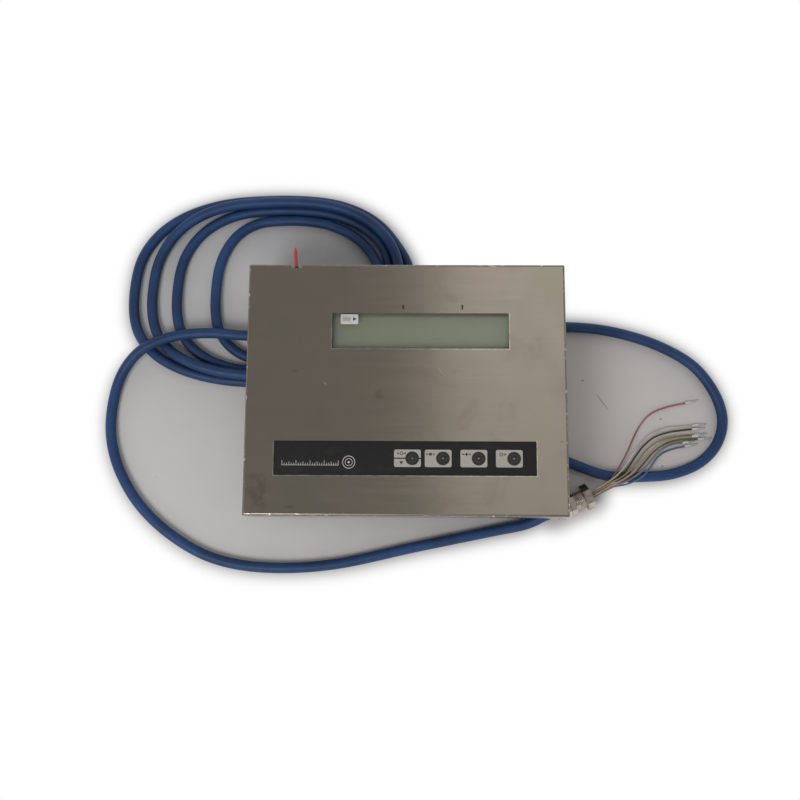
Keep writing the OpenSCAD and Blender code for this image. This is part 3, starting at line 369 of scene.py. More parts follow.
def window():
    """Clear pane with faint dust and fine wiping marks."""
    s = Shade("window_clear", (0.62, 0.66, 0.6), 0.07, IOR=1.49)
    dust = s.noise(900.0, 4.0, 0.7)
    wipes = s.noise(1.0, 2.0, 0.5, s.scaled(60, 900, 1, (0, 0, 0.3)))
    s.put("Alpha", s.plus(s.ease(dust, 0.55, 0.8, 0.075, 0.16), s.ease(wipes, 0.5, 0.8, 0.0, 0.03)))
    s.put("Roughness", s.ease(dust, 0.4, 0.8, 0.05, 0.3))
    s.put("Normal", s.bump(s.noise(12.0, 2.0), 0.05, 0.002))
    return s.material


def foil():
    """Embossed black keypad foil with a fine leathered print and faint rubbing."""
    s = Shade("keypad_foil_black", (0.012, 0.011, 0.0105), 0.4, Specular_IOR_Level=0.3)
    rub = s.ease(s.noise(90.0, 4.0, 0.6, s.scaled(0.6, 1.4, 1.0)), 0.5, 0.78)
    s.put("Base Color", s.tint((0.010, 0.009, 0.009), rub, 0.6, (0.022, 0.020, 0.018)))
    s.rough_by(s.noise(260.0), 0.2, 0.3)
    s.put("Normal", s.bump(s.noise(3800.0, 2.0), 0.16, 0.00006))
    return s.material


def field_print():
    """Warm grey key field, a little worn."""
    s = Shade("field_print", (0.33, 0.315, 0.275), 0.45)
    worn = s.ease(s.noise(260.0, 4.0, 0.65), 0.5, 0.72)
    s.put("Base Color", s.tint((0.345, 0.33, 0.285), worn, 0.4, (0.24, 0.23, 0.2)))
    s.rough_by(worn, 0.2, 0.38)
    s.put("Normal", s.bump(s.noise(3000.0, 2.0), 0.12, 0.00006))
    return s.material


def key_cap():
    """Dark moulded keys, each with a lighter ring about its middle and a bright dot at its centre."""
    s = Shade("key_cap_black", (0.013, 0.012, 0.011), 0.4)
    reach = None
    for name in ("key_1", "key_2", "key_3", "key_4"):
        low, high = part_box(name)
        far = s.node("ShaderNodeVectorMath", operation="DISTANCE")
        s.feed(far.inputs[0], s.scaled(1, 1, 0))
        far.inputs[1].default_value = ((low[0] + high[0]) / 2, (low[1] + high[1]) / 2, 0)
        reach = far.outputs["Value"] if reach is None else s.least(reach, far.outputs["Value"])
    ring_mark = s.times(s.ease(reach, 0.0026, 0.0029), s.fall(reach, 0.0032, 0.0036))
    pip = s.fall(reach, 0.0003, 0.0007)
    worn = s.noise(420.0, 4.0, 0.6)
    tone = s.blend(s.ease(worn, 0.4, 0.75), (0.012, 0.011, 0.010), (0.026, 0.024, 0.022))
    tone = s.tint(tone, ring_mark, 0.55, (0.06, 0.057, 0.052))
    s.put("Base Color", s.tint(tone, pip, 0.8, (0.42, 0.41, 0.38)))
    s.rough_by(worn, 0.2, 0.28)
    s.put("Normal", s.bump(s.noise(3600.0, 2.0), 0.12, 0.00006))
    return s.material


def cable_jacket():
    """Satin blue jacket with extrusion ripple, scuffs and floor dust."""
    s = Shade("cable_jacket", (0.014, 0.036, 0.11), 0.5, Specular_IOR_Level=0.3)
    scuff = s.noise(170.0, 5.0, 0.65, bend=0.6)
    blotch = s.noise(26.0, 3.0, 0.5)
    dust = s.times(s.ease(s.noise(620.0, 5.0, 0.75), 0.52, 0.8), s.ease(blotch, 0.35, 0.7))
    tone = s.blend(s.ease(blotch, 0.3, 0.7), (0.009, 0.030, 0.092), (0.014, 0.049, 0.150))
    tone = s.tint(tone, s.ease(scuff, 0.56, 0.72), 0.35, (0.022, 0.062, 0.17))
    s.put("Base Color", s.tint(tone, dust, 0.22, (0.14, 0.155, 0.18)))
    s.rough_by(scuff, 0.3, 0.36)
    normal = s.bump(s.noise(420.0, 3.0), 0.16, 0.0004)
    s.put("Normal", s.bump(s.noise(3600.0, 2.0), 0.12, 0.00008, normal))
    return s.material


def core_skin(name, colour):
    """Insulation of one core."""
    shade = tuple(c * 0.72 for c in colour)
    return plastic(name, colour, shade, 0.36, 420.0, 0.1, 0.00005)


def seal_red():
    """Twisted red cord, with painted shade in the grooves between its strands."""
    s = Shade("seal_twist", (0.55, 0.03, 0.02), 0.62, Sheen_Weight=0.25)
    _, y, z = s.split()
    strands = s.calc("SINE", s.times(s.plus(y, z), 3600.0))
    # Painted shade: the colour is darker in the grooves between the strands.
    s.put("Base Color", s.blend(s.ease(strands, -0.8, 0.9), (0.26, 0.010, 0.010), (0.50, 0.030, 0.025)))
    s.put("Normal", s.bump(strands, 0.5, 0.00025))
    return s.material


MATERIALS = {
    "stainless": stainless(),
    "seal_rubber": plastic("seal_rubber_black", (0.016, 0.016, 0.017), (0.028, 0.028, 0.028), 0.7),
    "fastener_steel": metal("fastener_zinc", (0.6, 0.59, 0.56), (0.42, 0.41, 0.38), 0.34),
    "foot_rubber": plastic("foot_rubber_black", (0.014, 0.014, 0.015), (0.03, 0.029, 0.028), 0.75,
                           200.0, 0.2),
    "window_plastic": window(),
    "label_white": plastic("label_paper", (0.56, 0.54, 0.51), (0.47, 0.45, 0.42), 0.6, 500.0, 0.06),
    "black_print": plastic("black_ink", (0.012, 0.012, 0.012), (0.03, 0.028, 0.026), 0.5, 700.0, 0.05),
    "black_plastic": plastic("black_moulded", (0.014, 0.014, 0.014), (0.022, 0.022, 0.022), 0.5),
    "lcd_grey": display_glass(),
    "backlight_white": plastic("backlight_acrylic", (0.8, 0.8, 0.76), (0.72, 0.73, 0.7), 0.3),
    "board_green": board(),
    "chip_black": plastic("chip_epoxy", (0.018, 0.018, 0.019), (0.03, 0.03, 0.03), 0.55, 900.0, 0.2),
    "foil_black": foil(),
    "field_grey": field_print(),
    "key_black": key_cap(),
    "spring_steel": metal("dome_steel", (0.7, 0.69, 0.66), (0.58, 0.57, 0.54), 0.22, 400.0),
    "ribbon_grey": plastic("ribbon_pvc", (0.3, 0.31, 0.33), (0.24, 0.25, 0.27), 0.45),
    "nickel": metal("nickel_plate", (0.5, 0.45, 0.385), (0.26, 0.225, 0.185), 0.2, 70.0),
    "tin_plate": metal("tin_plate_dull", (0.66, 0.66, 0.63), (0.5, 0.5, 0.47), 0.38),
    "capacitor_sleeve": plastic("capacitor_sleeve_blue", (0.02, 0.03, 0.08), (0.03, 0.045, 0.1), 0.3),
    "barrier_blue": plastic("barrier_case", (0.02, 0.08, 0.3), (0.03, 0.1, 0.34), 0.5, 400.0, 0.25),
    "fuse_glass": plastic("fuse_body", (0.62, 0.6, 0.52), (0.5, 0.48, 0.4), 0.2),
    "terminal_green": plastic("terminal_case", (0.04, 0.2, 0.07), (0.05, 0.24, 0.09), 0.42),
    "stud_brass": metal("stud_brass_bare", (0.66, 0.48, 0.2), (0.45, 0.32, 0.13), 0.3),
    "plate_aluminium": metal("plate_anodised", (0.68, 0.68, 0.67), (0.6, 0.6, 0.58), 0.42, 600.0, 0.15),
    "seal_red": seal_red(),
    "cable_blue": cable_jacket(),
    "core_insulation": core_skin("core_ivory", (0.6, 0.57, 0.45)),
    "ferrule_white": plastic("ferrule_nylon", (0.6, 0.58, 0.54), (0.52, 0.49, 0.45), 0.4, 900.0, 0.06),
}

for node in NODES.values():
    for place in node.material_slots:
        place.material = MATERIALS[place.material.name]


# Pieces

def add_piece(name, data, slot):
    """Links a mesh or curve as a piece that rides on the housing, with its material."""
    piece = bpy.data.objects.new(name, data)
    bpy.context.scene.collection.objects.link(piece)
    if not data.materials:
        data.materials.append(MATERIALS[slot])
    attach(piece, "housing")
    return piece


def mesh_from(name, corners, faces):
    mesh = bpy.data.meshes.new(name)
    mesh.from_pydata([tuple(c) for c in corners], [], faces)
    return mesh


def smooth_points(route, step):
    """Points about step apart on a Catmull-Rom curve through the route, which is in millimetres."""
    out = []
    for i in range(len(route) - 1):
        a = Vector(route[max(i - 1, 0)])
        b, c = Vector(route[i]), Vector(route[i + 1])
        d = Vector(route[min(i + 2, len(route) - 1)])
        parts = max(1, round((c - b).length / step))
        for k in range(parts):
            t = k / parts
            out.append(0.5 * (2 * b + (c - a) * t + (2 * a - 5 * b + 4 * c - d) * t ** 2
                              + (3 * b - a - 3 * c + d) * t ** 3))
    out.append(Vector(route[-1]))
    return out


def cord_curve(name, points, diameter, sides):
    """A curve of one open spline through points in millimetres."""
    curve = bpy.data.curves.new(name, "CURVE")
    curve.dimensions = "3D"
    curve.twist_mode = "MINIMUM"
    curve.bevel_depth = diameter * MM / 2
    curve.bevel_resolution = sides
    curve.use_fill_caps = True
    spline = curve.splines.new("POLY")
    spline.points.add(len(points) - 1)
    for spot, point in zip(spline.points, points):
        spot.co = (*(Vector(point) * MM), 1.0)
    spline.use_smooth = True
    return curve


# The blue cable: lead, coil and run. Points in millimetres

CABLE_D = 9.4
CABLE_STEP = 4.0
# Height of the cable's middle where it lies on the floor
LOW = CABLE_D / 2
LEAD_ROUTE = [(-12, 70.3, 40), (-12, 79.7, 40), (-12.8, 91.6, 37.8), (-15, 102.7, 31.4),
              (-17.8, 110.5, 22.2), (-21.5, 118.4, 13.2), (-27.6, 129.4, 6.9), (-34.6, 142, LOW),
              (-45, 153, LOW), (-60, 162.5, LOW), (-78, 169, LOW), (-97, 171.7, LOW)]
RUN_ROUTE = [(-95, 17, LOW), (-50, 13, LOW), (5, 1, LOW), (60, -19, LOW), (110, -39, LOW), (148, -55, LOW),
             (180, -66, LOW), (212, -67, LOW), (240, -64, LOW), (264, -54, LOW), (280, -37, LOW),
             (286, -15, LOW), (280, 9, LOW), (263, 33, LOW), (237, 50, LOW), (205, 62, LOW), (170, 69, LOW),
             (130, 70.5, LOW), (80, 68, 5), (40, 66, 12), (-5, 64, 18.3), (-50, 63, 12), (-100, 61.5, 9),
             (-145, 59.5, 14), (-180, 61.5, 15), (-212, 58.5, 15), (-240, 47, 15), (-259, 28, 8),
             (-268, 2, LOW), (-269, -30, LOW), (-260, -62, LOW), (-240, -94, LOW), (-210, -121, LOW),
             (-172, -141, LOW), (-125, -149, LOW), (-65, -146, LOW), (10, -130, LOW), (75, -116.5, LOW),
             (106, -110, 6.2), (123.2, -102.3, 9.8), (132.3, -98.2, 10.2)]
# The coil: its centre, and how far each of its turns, from the innermost outwards, reaches to the left,
# to the rear, to the front, to the right and to the rear right
COIL_CENTRE = (-115, 95)
LEFT_REACHES = (63, 99, 122, 139)
FAR_REACHES = (77, 87, 92, 97)
NEAR_REACHES = (58, 68, 73, 78)
RIGHT_REACHES = (98, 109, 122)
SHOULDER_REACHES = (105, 111, 116)
# Degrees in which a turn passes from its right reach to its shoulder, and the power of its oval
SHOULDER_TURN = 32
OVAL_POWER = 2.5
# How much higher a turn lies on those under it, and where: it rises from and to, and falls from and to,
# in degrees along the coil
LAYER_H = 8.8
LIFTS = ((596, 636, 745, 800), (824, 868, 925, 980))
# Where the coil ends, and the step of its points, in degrees
COIL_END = 1260
COIL_STEP = 15


def eased(share):
    share = min(max(share, 0.0), 1.0)
    return share * share * (3 - 2 * share)


def coil_point(travel):
    """The coil's middle line after travel degrees, from its innermost turn outwards."""
    turn, gone = divmod(travel, 360)
    turn = int(turn)
    if gone <= 90:
        reach_x, reach_y = LEFT_REACHES[turn], FAR_REACHES[turn]
    elif gone <= 180:
        reach_x, reach_y = LEFT_REACHES[turn], NEAR_REACHES[turn]
    elif gone <= 270:
        reach_x, reach_y = RIGHT_REACHES[turn], NEAR_REACHES[turn]
    else:
        shoulder = eased((gone - 270) / SHOULDER_TURN)
        reach_x = RIGHT_REACHES[turn] + (SHOULDER_REACHES[turn] - RIGHT_REACHES[turn]) * shoulder
        reach_y = FAR_REACHES[turn + 1]
    angle = math.radians(90 + gone)
    across, along = math.cos(angle), math.sin(angle)
    lift = sum(eased((travel - a) / (b - a)) - eased((travel - c) / (d - c)) for a, b, c, d in LIFTS)
    return (COIL_CENTRE[0] + reach_x * math.copysign(abs(across) ** (2 / OVAL_POWER), across),
            COIL_CENTRE[1] + reach_y * math.copysign(abs(along) ** (2 / OVAL_POWER), along),
            LOW + LAYER_H * lift)


COIL_ROUTE = [coil_point(travel) for travel in range(0, COIL_END + 1, COIL_STEP)]
CABLE_POINTS = smooth_points(LEAD_ROUTE + COIL_ROUTE + RUN_ROUTE, CABLE_STEP)


# The far gland's thread, in front of its locknut

FAR_TIP = Vector(RUN_ROUTE[-1])
FAR_ANGLE = math.radians(24)
FAR_AXIS = Vector((math.cos(FAR_ANGLE), math.sin(FAR_ANGLE), 0))
FAR_SIDE = Vector((-math.sin(FAR_ANGLE), math.cos(FAR_ANGLE), 0))
UP = Vector((0, 0, 1))
# The thread's start beyond the cable's tip, its length, radii and pitch, in millimetres
THREAD_START = 18.6
THREAD_L = 8.6
THREAD_ROOT_R = 7.95
THREAD_CREST_R = 8.22
THREAD_PITCH = 1.5
THREAD_SIDES = 40
# The ridge's section: distance from its middle, in pitches, and whether the point is on the crest
THREAD_SECTION = ((-0.46, False), (-0.07, True), (0.07, True), (0.46, False))


def thread_mesh(name):
    """A helical ridge about the far gland's axis. It fades at both ends, within a third of a turn."""
    corners, faces = [], []
    rings = int(THREAD_L / THREAD_PITCH * THREAD_SIDES) + 1
    fade_rings = THREAD_SIDES / 3
    for i in range(rings):
        angle = 2 * math.pi * i / THREAD_SIDES
        out = FAR_SIDE * math.cos(angle) + UP * math.sin(angle)
        middle = THREAD_START + THREAD_PITCH * i / THREAD_SIDES
        fade = min(1.0, i / fade_rings, (rings - 1 - i) / fade_rings)
        crest = THREAD_ROOT_R + (THREAD_CREST_R - THREAD_ROOT_R) * fade
        for shift, on_crest in THREAD_SECTION:
            r = crest if on_crest else THREAD_ROOT_R - 0.1
            corners.append((FAR_TIP + FAR_AXIS * (middle + shift * THREAD_PITCH) + out * r) * MM)
        if i:
            a, b = 4 * (i - 1), 4 * i
            faces += [(a + k, a + (k + 1) % 4, b + (k + 1) % 4, b + k) for k in range(4)]
    last = 4 * (rings - 1)
    faces += [(3, 2, 1, 0), (last, last + 1, last + 2, last + 3)]
    return mesh_from(name, corners, faces)


thread = add_piece("far_gland_thread_ridge", thread_mesh("far_gland_thread_ridge"), "nickel")

cable = add_piece("signal_cable", cord_curve("signal_cable", CABLE_POINTS, CABLE_D, 10), "cable_blue")
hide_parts("cable_lead", "cable_coil", "cable_run")


# The red seal cord

SEAL_D = 3.0
SEAL_STEP = 1.0
# How many of the cord's last points get thinner towards its end
SEAL_TAPER = 6
SEAL_ROUTE = [(-93, 92, 42), (-93, 96.5, 42.9), (-93, 100.6, 45.8), (-93, 102.9, 50), (-93, 103.4, 54.5),
              (-93, 103.4, 62), (-93, 103.4, 70), (-93, 103.5, 78), (-93, 104.4, 82.6), (-93, 107.5, 86.6),
              (-93.1, 112, 88.6), (-93.3, 118.4, 89.4)]
SEAL_POINTS = smooth_points(SEAL_ROUTE, SEAL_STEP)
seal_curve = cord_curve("seal_tail", SEAL_POINTS, SEAL_D, 6)
for k in range(SEAL_TAPER):
    taper = 0.3 + 0.7 * math.sin(math.pi / 2 * k / SEAL_TAPER)
    seal_curve.splines[0].points[-1 - k].radius = taper
seal = add_piece("seal_tail", seal_curve, "seal_red")
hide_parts("seal_cord")


# The eight cores with their end sleeves

CORE_D = 1.5
CORE_STEP = 1.6
# The cores leave the gland in a ring, run straight for a while, and cross in a wider ring
CORE_RING = 2.6
CORE_LEAD = 6.0
CORE_START = 32.5
CORE_SPREAD = 1.2
CORE_CROSSING = Vector((181, -74.5, 13.2))
CORE_SEATS = (7, 6, 1, 5, 3, 0, 2, 4)
CORE_NAMES = ("red", "black", "yellow", "green", "grey", "white", "pink", "blue")
CORE_COLOURS = ((0.36, 0.10, 0.11), (0.03, 0.024, 0.022), (0.27, 0.24, 0.06), (0.10, 0.14, 0.055),
                (0.2, 0.2, 0.2), (0.5, 0.47, 0.41), (0.45, 0.26, 0.225), (0.085, 0.12, 0.23))
CORE_ROUTES = (
    ((186, -65, 11.5), (192, -56, 9.5), (198, -46, 7), (204, -34, 5), (211, -21.5, 3.4),
     (221, -10.5, 2), (235, -4, 1.4), (254, 0.5, 1.35)),
    ((189.5, -67.5, 10.8), (198, -59.5, 9.4), (205, -50, 7.2), (213.5, -39.6, 5.4), (224, -31.3, 3.8),
     (237, -26.7, 2.4), (248, -24.8, 1.5), (259, -23.5, 1.35)),
    ((191, -68, 14.6), (200, -61, 12), (208, -52, 9.6), (216, -42.8, 7.6), (226, -35.6, 5.6),
     (238, -31.4, 3.6), (250, -29.4, 1.8), (260, -28.6, 1.35)),
    ((193, -71, 11), (204, -63.5, 10.4), (213, -55, 8), (221, -46.4, 5.6), (230, -39.4, 3.6),
     (240, -35, 2.2), (252, -32.9, 1.4), (264, -32.3, 1.35)),
    ((195, -71.8, 13.2), (207, -64.6, 12), (216, -56.4, 9.4), (223, -48.6, 6.6), (231, -41.8, 4),
     (240, -37.6, 2.2), (250, -35.9, 1.35)),
    ((188, -65.6, 14.2), (196, -56.5, 11.8), (204, -46, 9.4), (213, -35.3, 7.2), (224, -27.3, 5.2),
     (237, -23, 3.4), (249, -21.2, 1.8), (260, -20, 1.35)),
    ((193, -69.6, 15.2), (203, -62.4, 13), (211, -53.8, 10.8), (219, -45.2, 8.8), (228, -38.2, 7),
     (238, -33.6, 5.4), (248, -31.4, 4.2), (258, -30.2, 3.95)),
    ((197, -73.8, 10.9), (210, -67.4, 10.8), (218.5, -58.8, 8.2), (225, -50.8, 4), (233, -44.6, 1.6),
     (243, -41, 1.3), (252, -39.2, 1.35)),
)
# Sleeve and pin: distance from the sleeve's open end and radius
SLEEVE_PROFILE = ((0.0, 0.85), (0.0, 1.28), (0.35, 1.3), (0.8, 1.2), (4.7, 1.16), (5.4, 1.02),
                  (6.0, 0.8), (6.0, 0.62))
PIN_PROFILE = ((5.7, 0.0), (5.7, 0.6), (6.6, 0.6), (6.9, 0.5), (7.5, 0.5), (7.8, 0.6), (8.4, 0.6),
               (8.7, 0.5), (9.3, 0.5), (9.6, 0.6), (10.2, 0.6), (10.5, 0.5), (11.1, 0.5), (11.4, 0.6),
               (11.9, 0.6), (12.0, 0.5), (12.0, 0.0))


def lathe(name, profile, origin, axis, sides=20):
    """A solid of revolution: profile is (distance along axis, radius) in millimetres."""
    axis = Vector(axis).normalized()
    side = axis.cross(UP).normalized() if abs(axis.z) < 0.9 else Vector((1, 0, 0))
    rise = axis.cross(side)
    angles = [2 * math.pi * k / sides for k in range(sides)]
    shape = bmesh.new()
    rings = []
    for far, r in profile:
        middle = Vector(origin) + axis * far
        if r < 1e-6:
            rings.append([shape.verts.new(middle * MM)])
            continue
        rings.append([shape.verts.new((middle + (side * math.cos(a) + rise * math.sin(a)) * r) * MM)
                      for a in angles])
    for low, high in zip(rings, rings[1:]):
        for k in range(sides):
            after = k + 1
            corners = [low[k % len(low)], low[after % len(low)], high[after % len(high)], high[k % len(high)]]
            kept = list(dict.fromkeys(corners))
            if len(kept) > 2:
                shape.faces.new(kept)
    bmesh.ops.recalc_face_normals(shape, faces=shape.faces)
    mesh = bpy.data.meshes.new(name)
    shape.to_mesh(mesh)
    shape.free()
    for polygon in mesh.polygons:
        polygon.use_smooth = True
    return mesh


def make_core(k):
    """One core from the gland's mouth to its sleeve."""
    label = CORE_NAMES[k]
    angle = math.radians(45 * CORE_SEATS[k] + 22.5)
    seat = (FAR_SIDE * math.cos(angle) + UP * math.sin(angle)) * CORE_RING
    start = FAR_TIP + FAR_AXIS * CORE_START + seat
    route = [start, start + FAR_AXIS * CORE_LEAD, CORE_CROSSING + CORE_SPREAD * seat,
             *[Vector(p) for p in CORE_ROUTES[k]]]
    points = smooth_points(route, CORE_STEP)
    heading = route[-1] - route[-2]
    heading.z = 0
    heading.normalize()
    curve = cord_curve("core_" + label, points, CORE_D, 5)
    curve.materials.append(core_skin("core_skin_" + label, CORE_COLOURS[k]))
    core = add_piece("core_" + label, curve, "core_insulation")
    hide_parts("cable_cores")
    sleeve = add_piece("sleeve_" + label, lathe("sleeve_" + label, SLEEVE_PROFILE, route[-1], heading),
                       "ferrule_white")
    pin = add_piece("pin_" + label, lathe("pin_" + label, PIN_PROFILE, route[-1], heading, 12),
                    "tin_plate")
    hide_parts("core_ferrules")
    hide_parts("core_ferrules")


for number in range(len(CORE_NAMES)):
    make_core(number)


# The snap domes under their keys

DOME_T = 0.15
DOME_STEPS = 14


def make_dome(k):
    """A thin arched dome in the place of its CAD solid."""
    label = "key_dome_%d" % k
    low, high = (Vector(corner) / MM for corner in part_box(label))
    tall, reach = high.z - low.z, (high.x - low.x) / 2
    arch = [(1 - (i / DOME_STEPS) ** 2, reach * i / DOME_STEPS) for i in range(DOME_STEPS + 1)]
    profile = ([(share * (tall - DOME_T) + DOME_T, r) for share, r in arch]
               + [(share * (tall - DOME_T), r) for share, r in reversed(arch)])
    foot = Vector(((low.x + high.x) / 2, (low.y + high.y) / 2, low.z))
    dome = add_piece("snap_dome_%d" % k, lathe("snap_dome_%d" % k, profile, foot, (0, 0, 1), 40),
                     "spring_steel")
    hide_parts(label)
    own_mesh(dome)


for number in range(1, 5):
    make_dome(number)


# Prints on the label, the key fields and the strip

def rectangle(x, y, w, h):
    corners = [(-w / 2, -h / 2), (w / 2, -h / 2), (w / 2, h / 2), (-w / 2, h / 2)]
    return [[(x + a, y + b) for a, b in corners]]


def triangle(x, y, size, turn=0.0):
    """Points to +X before its turn."""
    corners = [(size * math.cos(math.radians(turn + a)), size * math.sin(math.radians(turn + a)))
               for a in (0, 120, 240)]
    return [[(x + a, y + b) for a, b in corners]]


def ring(x, y, r, width, sides=32):
    out = []
    for k in range(sides):
        a, b = (2 * math.pi * (k + e) / sides for e in (0, 1))
        out.append([(x + q * math.cos(t), y + q * math.sin(t))
                    for q, t in ((r - width, a), (r, a), (r, b), (r - width, b))])
    return out


def disc(x, y, r):
    angles = [2 * math.pi * k / 24 for k in range(24)]
    return [[(x + r * math.cos(a), y + r * math.sin(a)) for a in angles]]


def print_piece(name, outlines, z, slot):
    """Thin raised print from flat outlines in millimetres."""
    corners, faces = [], []
    for outline in outlines:
        first, count = len(corners), len(outline)
        corners += [(x * MM, y * MM, z * MM) for x, y in outline]
        corners += [(x * MM, y * MM, (z + PRINT_T) * MM) for x, y in outline]
        faces.append(tuple(first + k for k in reversed(range(count))))
        faces.append(tuple(first + count + k for k in range(count)))
        faces += [(first + k, first + (k + 1) % count, first + count + (k + 1) % count, first + count + k)
                  for k in range(count)]
    add_piece(name, mesh_from(name, corners, faces), slot)


print_piece("label_arrow", triangle(-43.6, 58.4, 1.9) + rectangle(-49.8, 58.4, 6.6, 0.7)
            + rectangle(-49.8, 60.0, 6.6, 0.35) + rectangle(-49.8, 56.8, 6.6, 0.35), LABEL_Z, "black_print")

# Middle of the first key field's upper row, and of the other fields' rows
UPPER_Y = -54.0
GLYPH_Y = -54.6
GLYPHS = {
    "glyphs_key_1": triangle(-6.3, UPPER_Y, 1.1) + ring(-3.5, UPPER_Y, 1.5, 0.55)
                    + triangle(-0.7, UPPER_Y, 1.1, 180) + triangle(-3.7, -61.3, 1.9, -90),
    "glyphs_key_2": triangle(17.4, GLYPH_Y, 1.1) + rectangle(20.0, GLYPH_Y, 2.1, 2.1)
                    + triangle(22.6, GLYPH_Y, 1.1, 180),
    "glyphs_key_3": triangle(46.6, GLYPH_Y, 1.1) + rectangle(49.4, GLYPH_Y, 2.8, 0.8)
                    + rectangle(49.4, GLYPH_Y, 0.8, 2.8) + triangle(52.2, GLYPH_Y, 1.1, 180),
    "glyphs_key_4": ring(77.6, GLYPH_Y, 1.5, 0.55) + triangle(80.7, GLYPH_Y, 1.2),
}
for name, outlines in GLYPHS.items():
    print_piece(name, outlines, FIELD_Z, "black_print")

TICKS = 24
SCALE_LEFT, SCALE_W, SCALE_Y = -101, 46, -63.6
tick_marks = []
for k in range(TICKS + 1):
    tall = 3.6 if k % 6 == 0 else 2.6 if k % 3 == 0 else 1.7
    tick_marks += rectangle(SCALE_LEFT + k * SCALE_W / TICKS, SCALE_Y + tall / 2, 0.34, tall)
print_piece("strip_scale", tick_marks + rectangle(-78, -63.8, 46.3, 0.3), FOIL_Z, "label_white")
print_piece("strip_ring", ring(-46.5, -61.3, 5.2, 0.45, 48) + ring(-46.5, -61.3, 3.1, 0.35, 36)
            + disc(-46.5, -61.3, 0.8), FOIL_Z, "label_white")


# Floor, world and lamp, which aren't part of the object

HALF_W, HALF_D = 132, 105
BORDER_PARTS = 40
GLAND_R = 9.0
GLAND_L = 36
# The floor starts to turn white this far from the cable's middle line, and is white this much further out
FADE_START, FADE_W = 5.0, 9.0
FLOOR_EDGE = 3000
FLOOR_STEP = 4
BLUR_PASSES = 3


def inside(points, outline):
    """Which of the points lie inside a closed outline."""
    x, y = points[:, 0], points[:, 1]
    hit = np.zeros(len(points), bool)
    for (ax, ay), (bx, by) in zip(outline, np.roll(outline, -1, axis=0)):
        if ay == by:
            continue
        crosses = (ay > y) != (by > y)
        hit ^= crosses & (x < (bx - ax) * (y - ay) / (by - ay) + ax)
    return hit


def near_share(spots):
    """The floor's share of grey: 1 within the cable's loops and under the housing, falling to 0 outside."""
    plan = np.array([(-HALF_W, -HALF_D), (HALF_W, -HALF_D), (HALF_W, HALF_D), (-HALF_W, HALF_D)])
    gland_side = np.array([(HALF_W, -40), (180, -64), (205, -68), (172, -84), (140, -103), (HALF_W, -HALF_D)])
    covered = np.zeros(len(spots), bool)
    coil = np.array([coil_point(t)[:2] for t in range(COIL_END - 360, COIL_END + 1, COIL_STEP)])
    run = np.array([p[:2] for p in RUN_ROUTE])
    for outline in (coil, run[4:20], np.vstack([run[18:], [(HALF_W, -60), (HALF_W, 70)]]), plan, gland_side):
        covered |= inside(spots, outline)
    border = [a + (b - a) * k / BORDER_PARTS for a, b in zip(plan, np.roll(plan, -1, axis=0))
              for k in range(BORDER_PARTS)]
    beside = [(p.x, p.y) for p in CABLE_POINTS] + border
    tree = kdtree.KDTree(len(beside))
    for k, (x, y) in enumerate(beside):
        tree.insert((x, y, 0.0), k)
    tree.balance()
    far = np.array([tree.find((x, y, 0.0))[2] for x, y in spots])
    gland = np.array([(FAR_TIP + FAR_AXIS * d)[:2] for d in range(0, GLAND_L, 5)])
    gland_far = np.sqrt(((spots[:, None, :] - gland[None, :, :]) ** 2).sum(axis=2)).min(axis=1)
    share = np.clip((FADE_START + FADE_W - np.minimum(far, gland_far - GLAND_R)) / FADE_W, 0, 1)
    return np.where(covered, 1.0, share * share * (3 - 2 * share))


def floor_material():
    """Worn grey paint near the object, with painted shade that darkens it from the front left towards the
    rear right, and painted light that lightens it right of the housing. Elsewhere plain, and pure white to
    the camera.
    """
    s = Shade("floor_pale", (0.5, 0.5, 0.5), 0.6)
    near = s.node("ShaderNodeAttribute", attribute_name="near").outputs["Fac"]
    px, py, _ = s.split()
    # Painted shade: darker from the front left towards the rear right, where the housing's shadow falls.
    grey = s.blend(s.ease(s.plus(px, py), -0.3, 0.12), (0.52, 0.51, 0.50), (0.37, 0.365, 0.38))
    # Painted light: lighter right of the housing, against the lamp's shadow there.
    grey = s.blend(s.ease(px, 0.08, 0.16), grey, (0.53, 0.51, 0.495))
    grey = s.blend(s.ease(s.noise(14.0, 5.0, 0.6), 0.35, 0.7, 0.0, 0.35), grey, (0.56, 0.55, 0.54))
    marks = s.spots(0.6, (179, 1.4, 9.0, 0.5, -53), (161.5, 21.4, 1.1, 0.9, 0), (231.6, -14, 1.1, 0.9, 0),
                    (231.6, -57, 1.1, 0.9, 0), (141, -27, 1.1, 0.9, 0))
    dots = s.times(s.ease(s.cells(55.0), 0.045, 0.02), s.ease(s.noise(9.0), 0.5, 0.6))
    s.put("Base Color", s.tint(grey, s.most(marks, dots), 0.6, (0.13, 0.12, 0.12)))
    s.put("Specular IOR Level", 0.2)
    path = s.node("ShaderNodeLightPath")
    seen = s.most(path.outputs["Is Camera Ray"],
                  s.most(path.outputs["Is Glossy Ray"], path.outputs["Is Transmission Ray"]))
    white = s.node("ShaderNodeEmission")
    s.feed(white.inputs["Strength"], 1.0)
    plain = s.node("ShaderNodeBsdfDiffuse")
    s.feed(plain.inputs["Color"], (0.8, 0.8, 0.8))
    outer = s.mix_shaders(seen, plain.outputs[0], white.outputs[0])
    s.feed(s.output.inputs["Surface"], s.mix_shaders(near, outer, s.shader.outputs[0]))
    return s.material


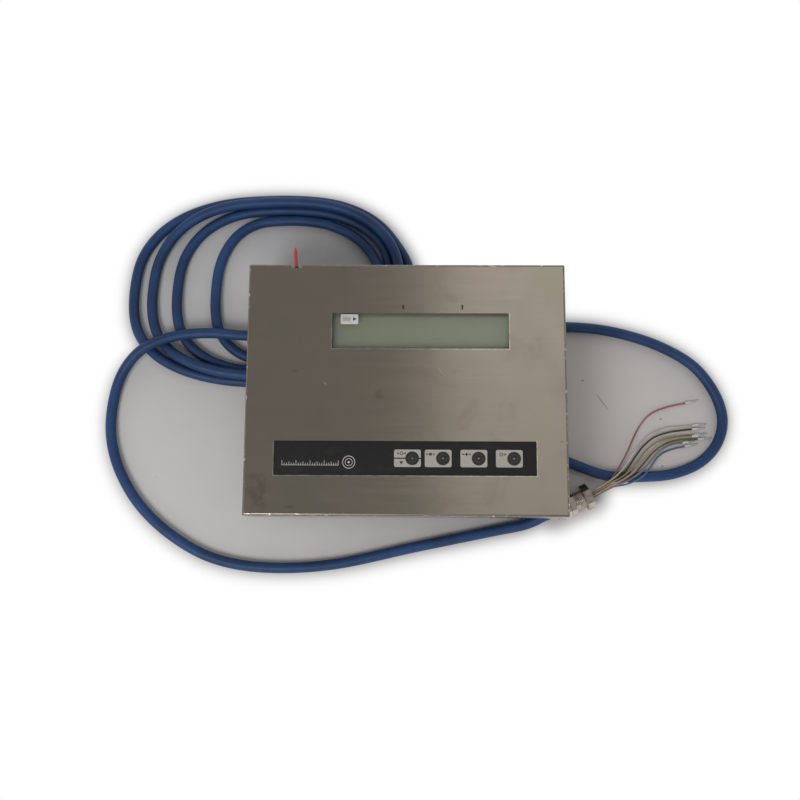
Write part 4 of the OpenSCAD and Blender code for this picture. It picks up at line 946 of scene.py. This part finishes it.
def make_floor():
    """A pale floor that fades to white outside the cable's loops."""
    xs = np.concatenate([[-FLOOR_EDGE], np.arange(-340, 361, FLOOR_STEP), [FLOOR_EDGE]])
    ys = np.concatenate([[-FLOOR_EDGE], np.arange(-230, 261, FLOOR_STEP), [FLOOR_EDGE]])
    wide = len(xs)
    grid = np.array([(x, y) for y in ys for x in xs], float)
    inner = np.abs(grid).max(axis=1) < FLOOR_EDGE
    share = np.zeros(len(grid))
    share[inner] = near_share(grid[inner])
    soft = share.reshape(len(ys), wide)
    for _ in range(BLUR_PASSES):
        soft = (soft + sum(np.roll(soft, step, axis) for step in (1, -1) for axis in (0, 1))) / 5
    faces = [(j * wide + i, j * wide + i + 1, (j + 1) * wide + i + 1, (j + 1) * wide + i)
             for j in range(len(ys) - 1) for i in range(wide - 1)]
    mesh = mesh_from("floor", [(x * MM, y * MM, 0.0) for x, y in grid], faces)
    layer = mesh.attributes.new("near", "FLOAT", "POINT")
    layer.data.foreach_set("value", soft.ravel().astype(np.float32))
    mesh.materials.append(floor_material())
    floor = bpy.data.objects.new("floor", mesh)
    bpy.context.scene.collection.objects.link(floor)


def make_world():
    """White walls, a dim ceiling, and a bright card over the right side."""
    world = bpy.data.worlds.new("studio")
    bpy.context.scene.world = world
    world.use_nodes = True
    s = Graph(world.node_tree, "Generated")
    x, y, z = s.split()
    up = s.most(z, 0.02)
    across, along = s.over(x, up), s.over(y, up)
    dome = s.ease(z, 0.3, 0.93, 0.9, 0.22)
    card_level = s.plus(s.times(s.most(s.least(along, 0.5), -0.3), 0.62), 0.52)
    card_share = s.times(s.ease(across, 0.011, 0.044), s.fall(across, 0.9, 1.6))
    level = s.plus(s.times(dome, s.minus(1.0, card_share)),
                   s.times(s.most(card_level, dome), card_share))
    background = s.tree.nodes["Background"]
    s.feed(background.inputs["Color"], (1.0, 1.0, 1.0))
    s.feed(background.inputs["Strength"], level)


def make_lamp():
    """Soft key light from the front left."""
    data = bpy.data.lights.new("key_light", "AREA")
    data.shape = "DISK"
    data.size = 0.6
    data.energy = 8.5
    lamp = bpy.data.objects.new("key_light", data)
    place = Vector((-0.5, -0.66, 1.1))
    lamp.location = place
    lamp.rotation_euler = (Vector((0, 0, 0.03)) - place).to_track_quat("-Z", "Y").to_euler()
    bpy.context.scene.collection.objects.link(lamp)


make_floor()
make_world()
make_lamp()
bpy.context.scene.view_settings.view_transform = "Standard"
